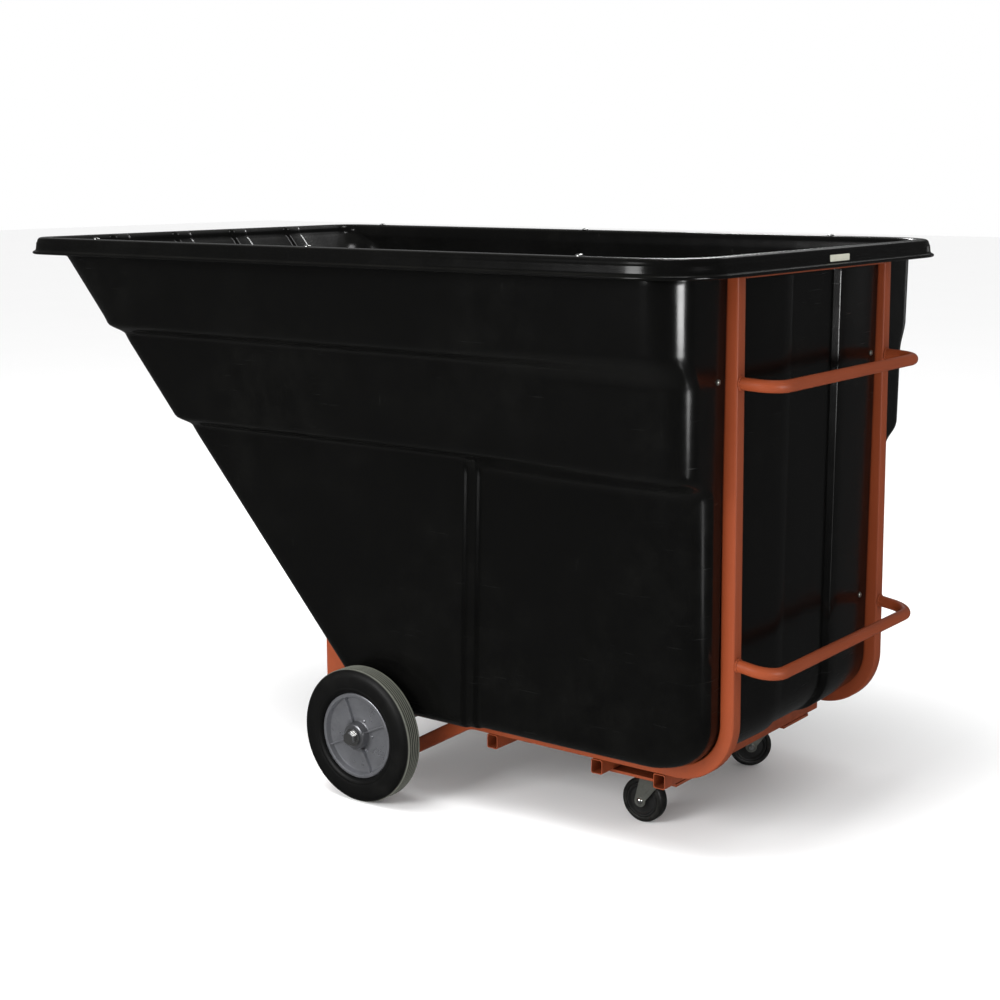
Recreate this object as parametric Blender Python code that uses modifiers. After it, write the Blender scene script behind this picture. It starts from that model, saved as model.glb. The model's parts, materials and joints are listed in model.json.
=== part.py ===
"""Tilt truck: a moulded plastic hopper on a welded tube frame with two large
wheels and two swivel casters.

Metres, +Z up.  +X points to the push handles at the rear, -X to the sloped
dumping nose, +Y to the left of a person pushing.  The floor is z = 0 and the
origin is the centre of the truck's footprint.
"""
import math

import bmesh
import bpy
from mathutils import Euler, Matrix, Vector

GAP = 0.0003                      # clearance between pieces that touch

# main wheels and their axle
AXLE_X = 0.02937
WHEEL_R = 0.1524                  # 12 inch wheel
WHEEL_OUT_Y = 0.529
WHEEL_IN_Y = 0.472
RIM_R = 0.0975                    # where the tyre sits on the wheel disc
BOSS_R = 0.030
BUSH_R = 0.0142
AXLE_R = 0.0095
AXLE_END_Y = 0.549

# frame tube
TUBE = 0.032
TUBE_WALL = 0.0025
TUBE_CORNER = 0.0035
TUBE_Y = 0.3305                   # centre plane of each side tube
UPRIGHT_TOP_X = AXLE_X + 0.8278   # centreline of the upright at its top end
UPRIGHT_LEAN = 0.0134             # slope: the upright leans back as it goes down
UPRIGHT_TOP_Z = 1.190
RAIL_Z = 0.1740
REAR_BEND_R = 0.119
STRUT_ANGLE = math.radians(30)
STRUT_BEND_R = 0.080
RAIL_FRONT_X = AXLE_X + 0.180     # where the lines of rail and strut meet
STRUT_LENGTH = 0.192

# cross tubes under the rails
CROSS_W = 0.028
CROSS_H = 0.032
CROSS_HALF = TUBE_Y + TUBE / 2
CROSS_Z = RAIL_Z - TUBE / 2 - GAP - CROSS_H / 2
CROSS_X = {"front": AXLE_X + 0.249, "middle": AXLE_X + 0.528, "rear": AXLE_X + 0.684}

# handles
HANDLE_R = 0.0127
HANDLE_BEND = 0.048
HANDLE_REACH = 0.0795             # tube centre beyond the rear of the uprights
HANDLES = {"upper_handle": (0.985, 0.004), "lower_handle": (0.418, 0.012)}

# side plates that carry the axle and hold the nose
PLATE_FRONT_X = AXLE_X - 0.2385    # their upright front edge
PLATE_CREST_X = AXLE_X - 0.068
PLATE_T = 0.006
PLATE_CLEAR = 0.004                # below the nose
NOSE_TUBE_Z = 0.330                # where the nose cross tube touches the nose

# hopper
WALL = 0.006
FLOOR_Z = RAIL_Z + TUBE / 2 + GAP + WALL
RIM_Z = 1.234
NOSE_TOP = (AXLE_X - 0.931, 1.186)       # outer nose line, x and z
NOSE_LOW = (AXLE_X - 0.180, 0.3245)
REAR_X = AXLE_X + 0.8225                 # outer face of the rear wall at its corners
FLOOR_EDGE_R = 0.030
FLOOR_REAR_R = 0.103
FLOOR_NOSE_R = 0.060
STEP_X = (AXLE_X + 0.266, AXLE_X + 0.292)   # two small steps in each side, at the ledge
STEP_LEAN = 0.049                           # slope: they run forward as they go down
STEP_IN = 0.010
CHANNEL_Y = (0.090, 0.108)               # recess down the middle of the rear wall
CHANNEL_IN = 0.012
CROWN = 0.0155                           # how far the rear wall bulges, at the channel
CROWN_SIDE = 0.45                        # share of it left beside the uprights
GROOVE_Y = (TUBE_Y - TUBE / 2 - 0.0015, TUBE_Y + TUBE / 2 + 0.0015)
CROWN_END_Y = GROOVE_Y[0] - 0.004
LEDGE_Z = 0.798                          # the lower of the two ledges
UPPER_CORNER_R = 0.079
LOWER_CORNER_R = 0.058
NOSE_CORNER_R = (0.064, 0.084)             # below and above the lower ledge
NOSE_CORNER_TOP_R = 0.056                  # where the body meets the rim
RIM_CORNER_R = (0.045, 0.095)              # nose and rear, at the foot of the rim
BODY_TOP_Z = 1.192
RIM_FOOT_Z = 1.214
RIM_FLARE = 0.0145                       # the rear wall flares out to meet the rim
RIM_SECTION = [                          # underside of the rim: outward, height
    (0.0, 1.202), (0.0, RIM_FOOT_Z), (0.0022, 1.2235), (0.0070, RIM_Z - WALL),
    (0.0250, RIM_Z - WALL), (0.0300, 1.2240), (0.0325, 1.2160), (0.0335, 1.1990),
    (0.0370, 1.1950), (0.0490, 1.1940),
]

# casters
CASTER_PIVOT = (AXLE_X + 0.612, 0.237)
CASTER_TRAIL = 0.030
CASTER_R = 0.050
CASTER_W = 0.031
CASTER_TURN = {"right": 0.0, "left": math.radians(40)}
FORK_T = 0.003
FORK_TOP = 0.1072
RACE_TOP = 0.1145
CASTER_PLATE_TOP = 0.1190

# bolts
BOLT_R = 0.0040
HEAD_R = 0.0080
RIM_BOLT_Y = 0.562
RIM_BOLT_X = {
    "right": (AXLE_X - 0.749, AXLE_X - 0.075, AXLE_X + 0.622),
    "left": (AXLE_X - 0.829, AXLE_X - 0.125, AXLE_X + 0.587),
}
RIM_BAR_Z = 1.2255
REAR_BOLTS = {                    # height and how far sideways
    "rear_bolt_upper_right": (-0.379, 0.990),
    "rear_bolt_upper_left": (0.283, 0.991),
    "rear_bolt_lower_left": (0.271, 0.440),
}

SIDES = {"right": -1, "left": 1}


# ---------------------------------------------------------------- scene helpers

def clear_scene():
    for old in list(bpy.data.objects):
        bpy.data.objects.remove(old, do_unlink=True)
    for name in ("tilt_truck", "cutters"):
        group = bpy.data.collections.new(name)
        bpy.context.scene.collection.children.link(group)


def material(name, colour, roughness, metallic=0.0):
    found = bpy.data.materials.get(name)
    if found:
        return found
    made = bpy.data.materials.new(name)
    made.use_nodes = True
    shader = made.node_tree.nodes["Principled BSDF"]
    shader.inputs["Base Color"].default_value = (*colour, 1.0)
    shader.inputs["Roughness"].default_value = roughness
    shader.inputs["Metallic"].default_value = metallic
    made.diffuse_color = (*colour, 1.0)
    return made


def hopper_plastic():
    return material("hopper_plastic", (0.012, 0.012, 0.011), 0.38)


def frame_paint():
    return material("frame_paint", (0.33, 0.075, 0.030), 0.42)


def tyre_rubber():
    return material("tyre_rubber", (0.016, 0.016, 0.015), 0.75)


def wheel_metal():
    return material("wheel_metal", (0.32, 0.33, 0.36), 0.38, 0.9)


def plated_steel():
    return material("plated_steel", (0.62, 0.62, 0.60), 0.25, 1.0)


def zinc_steel():
    return material("zinc_steel", (0.48, 0.48, 0.43), 0.42, 0.9)


def nylon():
    return material("nylon", (0.55, 0.53, 0.46), 0.5)


def label_plastic():
    return material("label_plastic", (0.50, 0.50, 0.42), 0.5)


def link(obj, finish, group="tilt_truck"):
    bpy.data.collections[group].objects.link(obj)
    if finish:
        obj.data.materials.append(finish)
    return obj


def object_from(bm, name, finish, group="tilt_truck", smooth=math.radians(40)):
    bmesh.ops.recalc_face_normals(bm, faces=bm.faces)
    mesh = bpy.data.meshes.new(name)
    bm.to_mesh(mesh)
    bm.free()
    mesh.shade_smooth()
    mesh.set_sharp_from_angle(angle=smooth)
    return link(bpy.data.objects.new(name, mesh), finish, group)


def block(name, size, centre, finish):
    bm = bmesh.new()
    bmesh.ops.create_cube(bm, size=1.0)
    bmesh.ops.scale(bm, vec=size, verts=bm.verts)
    obj = object_from(bm, name, finish)
    obj.location = centre
    return obj


def rod(name, radius, length, finish, segments=16, group="tilt_truck"):
    bm = bmesh.new()
    bmesh.ops.create_cone(bm, cap_ends=True, segments=segments,
                          radius1=radius, radius2=radius, depth=length)
    return object_from(bm, name, finish, group)


def turned(name, outline, finish, steps=32, closed=True, group="tilt_truck"):
    """A turned piece about its own Z: the outline runs down its outer side."""
    mesh = bpy.data.meshes.new(name)
    count = len(outline)
    edges = [(i, i + 1) for i in range(count - 1)]
    if closed:
        edges.append((count - 1, 0))
    mesh.from_pydata([(r, 0, z) for r, z in outline], edges, [])
    obj = link(bpy.data.objects.new(name, mesh), finish, group)
    spin = obj.modifiers.new("turn", "SCREW")
    spin.axis = "Z"
    spin.steps = steps
    spin.render_steps = steps
    spin.use_merge_vertices = True
    spin.merge_threshold = 0.00005
    spin.use_smooth_shade = False
    return obj


def cutter(name, radius, length, location, rotation=(0, 0, 0), segments=14):
    tool = rod(name, radius, length, None, segments, "cutters")
    tool.location = location
    tool.rotation_euler = rotation
    tool.hide_render = True
    tool.display_type = "WIRE"
    return tool


def drill(target, *tools):
    for tool in tools:
        cut = target.modifiers.new("hole_" + tool.name, "BOOLEAN")
        cut.operation = "DIFFERENCE"
        cut.solver = "EXACT"
        cut.object = tool


def empty(name, location, parent=None):
    obj = bpy.data.objects.new(name, None)
    bpy.data.collections["tilt_truck"].objects.link(obj)
    obj.location = location
    obj.empty_display_size = 0.05
    obj.parent = parent
    return obj


# ---------------------------------------------------------------- bent tubes

def tube_section(width, height, corner, corner_steps=2):
    """Points of a rounded rectangle, width along its first axis."""
    points = []
    for quarter, (sx, sy) in enumerate(((1, 1), (-1, 1), (-1, -1), (1, -1))):
        for step in range(corner_steps + 1):
            angle = math.pi / 2 * (quarter + step / corner_steps)
            points.append((sx * (width / 2 - corner) + corner * math.cos(angle),
                           sy * (height / 2 - corner) + corner * math.sin(angle)))
    return points


def ring_of(bm, points):
    """Edges of a closed ring through the points."""
    verts = [bm.verts.new(point) for point in points]
    return [bm.edges.new((a, b)) for a, b in zip(verts, verts[1:] + verts[:1])]


def tube_wall(tube):
    shell = tube.modifiers.new("tube_wall", "SOLIDIFY")
    shell.thickness = TUBE_WALL
    shell.offset = -1
    shell.use_even_offset = True


def bent_tube(name, start, heading, moves):
    """A hollow tube bent in one upright plane.

    heading is the angle of travel above +X in the XZ plane.  Each move is
    ("run", length) or ("bend", angle, radius, steps), a positive angle turning
    towards +Z when travelling along +X.
    """
    bm = bmesh.new()
    side = Vector((0, 1, 0))
    ahead = Vector((math.cos(heading), 0, math.sin(heading)))
    up = Vector((-ahead.z, 0, ahead.x))
    centre = Vector(start)
    edges = ring_of(bm, [centre + side * a + up * b
                         for a, b in tube_section(TUBE, TUBE, TUBE_CORNER)])
    for move in moves:
        if move[0] == "run":
            grown = bmesh.ops.extrude_edge_only(bm, edges=edges)["geom"]
            verts = [g for g in grown if isinstance(g, bmesh.types.BMVert)]
            bmesh.ops.translate(bm, verts=verts, vec=ahead * move[1])
            centre = centre + ahead * move[1]
        else:
            _, angle, radius, steps = move
            turn = 1 if angle > 0 else -1
            pivot = centre + up * radius * turn
            spun = bmesh.ops.spin(bm, geom=edges, cent=pivot, axis=side, dvec=(0, 0, 0),
                                  angle=-angle, steps=steps, use_duplicate=False)
            grown = spun["geom_last"]
            swing = Matrix.Rotation(-angle, 3, side)
            centre = pivot + swing @ (centre - pivot)
            ahead = swing @ ahead
            up = swing @ up
        edges = [g for g in grown if isinstance(g, bmesh.types.BMEdge)]
    tube = object_from(bm, name, frame_paint(), smooth=math.radians(50))
    tube_wall(tube)


def build_side_frames():
    lean = math.atan(UPRIGHT_LEAN)
    straight = (UPRIGHT_TOP_Z - RAIL_Z) / math.cos(lean)
    # the bend turns from nearly straight down to level, heading for the nose
    turn = math.pi / 2 + lean
    tangent = REAR_BEND_R * math.tan(turn / 2)
    foot_x = UPRIGHT_TOP_X + (UPRIGHT_TOP_Z - RAIL_Z) * UPRIGHT_LEAN
    strut_tangent = STRUT_BEND_R * math.tan(STRUT_ANGLE / 2)
    rail = foot_x - tangent - RAIL_FRONT_X - strut_tangent
    moves = [
        ("run", straight - tangent),
        ("bend", -turn, REAR_BEND_R, 10),
        ("run", rail),
        ("bend", STRUT_ANGLE, STRUT_BEND_R, 4),
        ("run", STRUT_LENGTH),
    ]
    for side, sign in SIDES.items():
        start = (UPRIGHT_TOP_X, sign * TUBE_Y, UPRIGHT_TOP_Z)
        bent_tube("side_frame_" + side, start, -math.pi / 2 + lean, moves)


def cross_tube(name, width, height, location):
    """A straight hollow tube from one side frame's outer face to the other's."""
    bm = bmesh.new()
    edges = ring_of(bm, [Vector((a, -CROSS_HALF, b))
                         for a, b in tube_section(width, height, TUBE_CORNER)])
    grown = bmesh.ops.extrude_edge_only(bm, edges=edges)["geom"]
    verts = [g for g in grown if isinstance(g, bmesh.types.BMVert)]
    bmesh.ops.translate(bm, verts=verts, vec=(0, 2 * CROSS_HALF, 0))
    tube = object_from(bm, name, frame_paint())
    tube_wall(tube)
    tube.location = location
    return tube


def build_cross_tubes():
    for place, x in CROSS_X.items():
        cross_tube("cross_tube_" + place, CROSS_W, CROSS_H, (x, 0, CROSS_Z))


def build_rear_bar():
    half = TUBE_Y - TUBE / 2 - GAP
    block("rear_top_bar", (0.005, 2 * half, 0.010),
          (UPRIGHT_TOP_X + TUBE / 2 - 0.0025, 0, UPRIGHT_TOP_Z + 0.0020), frame_paint())


def build_handles():
    for name, (height, droop) in HANDLES.items():
        rear_face = UPRIGHT_TOP_X + (UPRIGHT_TOP_Z - height) * UPRIGHT_LEAN + TUBE / 2
        clear = GAP + HANDLE_R * (droop / HANDLE_REACH + UPRIGHT_LEAN)
        points = []
        for sign in (-1, 1):
            leg = [(clear, sign * TUBE_Y)]
            leg.append((HANDLE_REACH - HANDLE_BEND - 0.004, sign * TUBE_Y))
            for step in range(7):
                angle = math.pi / 2 * step / 6
                leg.append((HANDLE_REACH - HANDLE_BEND * (1 - math.sin(angle)),
                            sign * (TUBE_Y - HANDLE_BEND * (1 - math.cos(angle)))))
            points += leg if sign < 0 else leg[::-1]
        curve = bpy.data.curves.new(name, "CURVE")
        curve.dimensions = "3D"
        spline = curve.splines.new("POLY")
        spline.points.add(len(points) - 1)
        for point, (x, y) in zip(spline.points, points):
            point.co = (x, y, -droop * x / HANDLE_REACH, 1)
        curve.bevel_depth = HANDLE_R
        curve.bevel_resolution = 3
        curve.use_fill_caps = True
        handle = link(bpy.data.objects.new(name, curve), frame_paint())
        handle.location = (rear_face, 0, height)


# ---------------------------------------------------------------- nose support

def nose_x(z):
    """Outer nose line of the hopper at a height."""
    slope = (NOSE_TOP[0] - NOSE_LOW[0]) / (NOSE_TOP[1] - NOSE_LOW[1])
    return NOSE_LOW[0] + slope * (z - NOSE_LOW[1])


def plate_top_z(x):
    slope = (NOSE_TOP[1] - NOSE_LOW[1]) / (NOSE_TOP[0] - NOSE_LOW[0])
    return NOSE_LOW[1] + slope * (x - NOSE_LOW[0]) - PLATE_CLEAR * math.sqrt(1 + slope * slope)


def build_side_plates():
    """Plates that carry the axle and stand up in front to hold the nose."""
    outline = [
        (PLATE_FRONT_X, 0.158),
        (AXLE_X - 0.020, 0.070),
        (AXLE_X + 0.040, 0.074),
        (AXLE_X + 0.052, 0.130),
        (AXLE_X + 0.020, 0.180),
        (PLATE_CREST_X, plate_top_z(PLATE_CREST_X)),
        (PLATE_FRONT_X, plate_top_z(PLATE_FRONT_X)),
    ]
    for side, sign in SIDES.items():
        name = "axle_plate_" + side
        curve = bpy.data.curves.new(name, "CURVE")
        curve.dimensions = "2D"
        curve.fill_mode = "BOTH"
        curve.extrude = PLATE_T / 2
        edge = curve.splines.new("POLY")
        edge.points.add(len(outline) - 1)
        for point, (x, z) in zip(edge.points, outline):
            point.co = (x, z, 0, 1)
        edge.use_cyclic_u = True
        hole = curve.splines.new("POLY")
        hole.points.add(15)
        for step, point in enumerate(hole.points):
            angle = math.tau * step / 16
            point.co = (AXLE_X + (AXLE_R + GAP) * math.cos(angle),
                        WHEEL_R + (AXLE_R + GAP) * math.sin(angle), 0, 1)
        hole.use_cyclic_u = True
        plate = link(bpy.data.objects.new(name, curve), frame_paint())
        plate.rotation_euler = (math.pi / 2, 0, 0)
        plate.location = (0, sign * (TUBE_Y + TUBE / 2 + GAP + PLATE_T / 2), 0)


def build_nose_tube():
    """Square tube between the plates, laid flat against the nose."""
    tilt = math.atan2(NOSE_TOP[1] - NOSE_LOW[1], NOSE_LOW[0] - NOSE_TOP[0])
    below = Vector((-math.sin(tilt), 0, -math.cos(tilt)))
    contact = Vector((nose_x(NOSE_TUBE_Z), 0, NOSE_TUBE_Z))
    tube = cross_tube("cross_tube_nose", TUBE, TUBE, contact + below * (TUBE / 2 + GAP))
    tube.rotation_euler = (0, tilt, 0)


# ---------------------------------------------------------------- hopper

def side_half_width(z):
    """Outer half width of the side walls, with its two moulded ledges."""
    levels = ((0.000, 0.4370), (0.795, 0.4645), (0.808, 0.4900), (0.820, 0.4990),
              (0.835, 0.5010), (1.002, 0.5050), (1.014, 0.5290), (1.030, 0.5430),
              (1.050, 0.5455), (1.190, 0.5480), (2.000, 0.5480))
    for (z0, w0), (z1, w1) in zip(levels, levels[1:]):
        if z <= z1:
            return w0 + (w1 - w0) * (z - z0) / (z1 - z0)
    return levels[-1][1]


def quarter_round(depth, radius):
    """How far an edge draws in at a depth below the start of its rounding."""
    if depth <= 0:
        return 0.0
    depth = min(depth, radius)
    return radius - math.sqrt(radius * radius - depth * depth)


def groove_x(z):
    """Outer face of the rear wall behind an upright."""
    front = UPRIGHT_TOP_X + (UPRIGHT_TOP_Z - z) * UPRIGHT_LEAN - TUBE / 2 - 0.001
    return min(front, REAR_X)


def rear_wall_x(y):
    """Outer face of the crowned rear wall, sideways of its channel."""
    y = abs(y)
    if y > GROOVE_Y[1]:
        return REAR_X
    share = (CROWN_END_Y - y) / (CROWN_END_Y - CHANNEL_Y[1])
    return REAR_X + CROWN * (CROWN_SIDE + (1 - CROWN_SIDE) * share)


def quarter_turn(steps):
    """Sine and 1 - cosine of equal steps of a quarter turn."""
    angles = [math.pi / 2 * i / steps for i in range(steps + 1)]
    return [(math.sin(a), 1 - math.cos(a)) for a in angles]


def outline(z, front, half, rear, nose_radius, rear_radius, step, wall):
    """Half of the hopper's outline at one height, mirrored into a closed loop.

    It runs from the middle of the nose round the right side to the middle of
    the rear wall.  wall lists the rear wall's own points, as (x, y).
    """
    points = [(front, 0.0)]
    points += [(front + nose_radius * drop, -(half - nose_radius * (1 - rise)))
               for rise, drop in quarter_turn(4)]
    for i, top in enumerate(STEP_X):
        x = top - STEP_LEAN * max(0.0, LEDGE_Z - z)
        points.append((x - 0.003, -(half - step * i)))
        points.append((x + 0.003, -(half - step * (i + 1))))
    back_half = half - 2 * step
    points += [(rear - rear_radius * (1 - rise), -(back_half - rear_radius * drop))
               for rise, drop in quarter_turn(5)]
    points += [(x, -y) for x, y in wall]
    return points + [(x, -y) for x, y in reversed(points[1:-1])]


def body_outline(z):
    """Outline of the outside of the hopper below its rim."""
    floor = FLOOR_Z - WALL
    half = side_half_width(z) - quarter_round(floor + FLOOR_EDGE_R - z, FLOOR_EDGE_R)
    front = nose_x(z) + quarter_round(floor + FLOOR_NOSE_R - z, FLOOR_NOSE_R)
    draw = quarter_round(floor + FLOOR_REAR_R - z, FLOOR_REAR_R)
    rear = REAR_X - draw
    step = STEP_IN if z < LEDGE_Z else 0.0
    room = half - 2 * step - GROOVE_Y[1] - 0.004
    rear_radius = min(UPPER_CORNER_R if z > LEDGE_Z else LOWER_CORNER_R, room)
    nose_radius = NOSE_CORNER_R[1] if z > LEDGE_Z else NOSE_CORNER_R[0]
    if z >= BODY_TOP_Z:
        nose_radius = NOSE_CORNER_TOP_R
    groove = groove_x(z) - draw
    wall = [(rear, GROOVE_Y[1] + 0.003), (groove, GROOVE_Y[1]), (groove, GROOVE_Y[0]),
            (rear + CROWN * CROWN_SIDE, CROWN_END_Y), (rear + CROWN, CHANNEL_Y[1]),
            (rear + CROWN - CHANNEL_IN, CHANNEL_Y[0]), (rear + CROWN - CHANNEL_IN, 0.0)]
    return [(x, y, z) for x, y in outline(z, front, half, rear, nose_radius, rear_radius,
                                          step, wall)]


def rim_outline(outward, z):
    """Outline of the underside of the rim, outward of the body's outside."""
    front = nose_x(min(z, RIM_FOOT_Z) if outward == 0 else RIM_FOOT_Z) - outward
    half = side_half_width(RIM_FOOT_Z) + outward
    flare = RIM_FLARE
    if outward == 0:
        flare *= (z - BODY_TOP_Z) / (RIM_FOOT_Z - BODY_TOP_Z)
    rear = REAR_X + flare + outward
    ys = (GROOVE_Y[1] + 0.003, GROOVE_Y[1], GROOVE_Y[0], CROWN_END_Y,
          CHANNEL_Y[1], CHANNEL_Y[0], 0.0)
    return [(x, y, z) for x, y in outline(z, front, half, rear, RIM_CORNER_R[0] + outward,
                                          RIM_CORNER_R[1] + outward, 0.0,
                                          [(rear, y) for y in ys])]


def build_hopper():
    """The sheet is the outside of the body and the underside of the rim."""
    floor = FLOOR_Z - WALL
    heights = [floor + FLOOR_REAR_R * (1 - math.cos(math.radians(a)))
               for a in (0, 14, 28, 42, 57, 73, 90)]
    heights += [0.795, 0.808, 0.820, 0.835, 1.002, 1.014, 1.030, 1.050, BODY_TOP_Z]
    rings = [body_outline(z) for z in heights]
    rings += [rim_outline(outward, z) for outward, z in RIM_SECTION]
    bm = bmesh.new()
    loops = [[bm.verts.new(point) for point in ring] for ring in rings]
    for low, high in zip(loops, loops[1:]):
        for i in range(len(low)):
            j = (i + 1) % len(low)
            bm.faces.new((low[i], low[j], high[j], high[i]))
    bm.faces.new(loops[0][::-1])
    mesh = bpy.data.meshes.new("hopper")
    bm.normal_update()
    bm.to_mesh(mesh)
    bm.free()
    mesh.shade_smooth()
    mesh.set_sharp_from_angle(angle=math.radians(45))
    hopper = link(bpy.data.objects.new("hopper", mesh), hopper_plastic())
    shell = hopper.modifiers.new("moulded_wall", "SOLIDIFY")
    shell.thickness = WALL
    shell.offset = -1
    shell.use_even_offset = True
    return hopper


# ---------------------------------------------------------------- rim and bolts

def dome_bolt(name, shank, finish, head=HEAD_R, radius=BOLT_R):
    """Dome head bolt pointing down its own -Z, head underside at z = 0."""
    dome = [(head * math.sin(math.radians(a)), 0.0005 + 0.0035 * math.cos(math.radians(a)))
            for a in (0, 45, 90)]
    outline = dome + [(head, GAP), (radius, GAP), (radius, -shank), (0, -shank)]
    return turned(name, outline, finish, steps=12, closed=False)


def build_rim_parts(hopper):
    for side, sign in SIDES.items():
        xs = RIM_BOLT_X[side]
        length = xs[-1] - xs[0] + 0.06
        bar = block("rim_bar_" + side, (length, 0.013, 0.004),
                    ((xs[0] + xs[-1]) / 2, sign * RIM_BOLT_Y, RIM_BAR_Z), plated_steel())
        for i, x in enumerate(xs, 1):
            place = (x, sign * RIM_BOLT_Y, RIM_Z)
            bolt = dome_bolt("rim_bolt_%s_%d" % (side, i), 0.024, plated_steel())
            bolt.location = place
            hole = cutter("rim_hole_%s_%d" % (side, i), BOLT_R + 0.0004, 0.05, place)
            drill(hopper, hole)
            drill(bar, hole)


def build_rear_bolts(hopper):
    for name, (y, z) in REAR_BOLTS.items():
        place = (rear_wall_x(y) + GAP, y, z)
        bolt = dome_bolt(name, 0.010, plated_steel(), head=0.0065, radius=0.003)
        bolt.location = place
        bolt.rotation_euler = (0, math.pi / 2, 0)
        drill(hopper, cutter("hole_" + name, 0.0034, 0.05, place, (0, math.pi / 2, 0)))


def build_label():
    x = REAR_X + RIM_FLARE + 0.0335 + WALL
    block("rim_label", (0.0012, 0.088, 0.0155), (x + 0.0006 + GAP, 0.018, 1.2125),
          label_plastic())


# ---------------------------------------------------------------- main wheels

def groove_profile(half, radius):
    """Tread line from the outer shoulder to the inner one, with its grooves."""
    points = []
    count = 3
    pitch = 2 * half / (count + 1)
    for i in range(count):
        centre = half - pitch * (i + 1)
        points += [(radius, centre + 0.0022), (radius - 0.003, centre + 0.0010),
                   (radius - 0.003, centre - 0.0010), (radius, centre - 0.0022)]
    return points


def build_main_wheels():
    width = WHEEL_OUT_Y - WHEEL_IN_Y
    middle = (WHEEL_OUT_Y + WHEEL_IN_Y) / 2
    half = width / 2
    for side, sign in SIDES.items():
        spin = empty("main_wheel_axis_" + side, (AXLE_X, sign * middle, WHEEL_R))
        # local +Z is turned to point outwards along the axle
        spin.rotation_euler = (-sign * math.pi / 2, 0, 0)
        bulge = [(RIM_R + 0.0008, half - 0.0080), (0.104, half - 0.0010), (0.112, half),
                 (0.132, half), (0.1440, half - 0.0015), (0.1502, half - 0.0060),
                 (WHEEL_R, half - 0.0100)]
        tread = groove_profile(half - 0.0070, WHEEL_R)
        tyre_outline = bulge + tread + [(r, -z) for r, z in reversed(bulge)]
        tyre = turned("tyre_" + side, tyre_outline, tyre_rubber(), steps=36)
        disc_outline = [
            (BUSH_R + GAP, half + 0.004), (0.0270, half + 0.004), (BOSS_R, half + 0.0015),
            (0.0330, half - 0.0160), (0.0860, half - 0.0190), (0.0895, half - 0.0080),
            (0.0955, half - 0.0075), (RIM_R, half - 0.0095), (RIM_R, 0.010 - half),
            (0.0890, 0.010 - half), (0.0860, half - 0.0240), (0.0330, half - 0.0220),
            (BOSS_R, 0.004 - half), (BUSH_R + GAP, 0.004 - half),
        ]
        disc = turned("wheel_disc_" + side, disc_outline, wheel_metal(), steps=36)
        bush_outline = [(AXLE_R + GAP, half + 0.0045), (BUSH_R, half + 0.0045),
                        (BUSH_R, 0.0035 - half), (AXLE_R + GAP, 0.0035 - half)]
        bush = turned("axle_bush_" + side, bush_outline, nylon(), steps=24)
        for piece in (tyre, disc, bush):
            piece.parent = spin
        washer_z = half + 0.0045 + GAP
        washer = turned("axle_washer_" + side,
                        [(AXLE_R + GAP, washer_z + 0.0025), (0.0200, washer_z + 0.0025),
                         (0.0200, washer_z), (AXLE_R + GAP, washer_z)],
                        plated_steel(), steps=24)
        nut_z = washer_z + 0.0025 + GAP
        nut = turned("axle_nut_" + side,
                     [(AXLE_R + GAP, nut_z + 0.0130), (0.0125, nut_z + 0.0130),
                      (0.0140, nut_z + 0.0110), (0.0150, nut_z + 0.0020),
                      (0.0150, nut_z), (AXLE_R + GAP, nut_z)],
                     plated_steel(), steps=24)
        for piece in (washer, nut):
            piece.location = (AXLE_X, sign * middle, WHEEL_R)
            piece.rotation_euler = (-sign * math.pi / 2, 0, 0)
    axle = rod("axle", AXLE_R, 2 * AXLE_END_Y, plated_steel(), 24)
    axle.rotation_euler = (math.pi / 2, 0, 0)
    axle.location = (AXLE_X, 0, WHEEL_R)


# ---------------------------------------------------------------- casters

def fork_mesh():
    """Folded sheet fork about the pivot, wheel behind along -X (local)."""
    inner = CASTER_W / 2 + 0.0030
    top = FORK_TOP - FORK_T / 2
    leg = inner + FORK_T / 2
    lobe = 0.0135
    bm = bmesh.new()
    outline = [(0.026, top), (-0.030, top)]
    for step in range(7):
        angle = math.radians(170) + math.radians(200) * step / 6
        outline.append((-CASTER_TRAIL + lobe * math.cos(angle),
                        CASTER_R + lobe * math.sin(angle)))
    rows = []
    for sign in (-1, 1):
        rows.append([bm.verts.new((x, sign * leg, z)) for x, z in outline])
    bm.faces.new(rows[0])
    bm.faces.new(rows[1][::-1])
    bm.faces.new((rows[0][1], rows[0][0], rows[1][0], rows[1][1]))
    bmesh.ops.recalc_face_normals(bm, faces=bm.faces)
    return bm


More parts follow.
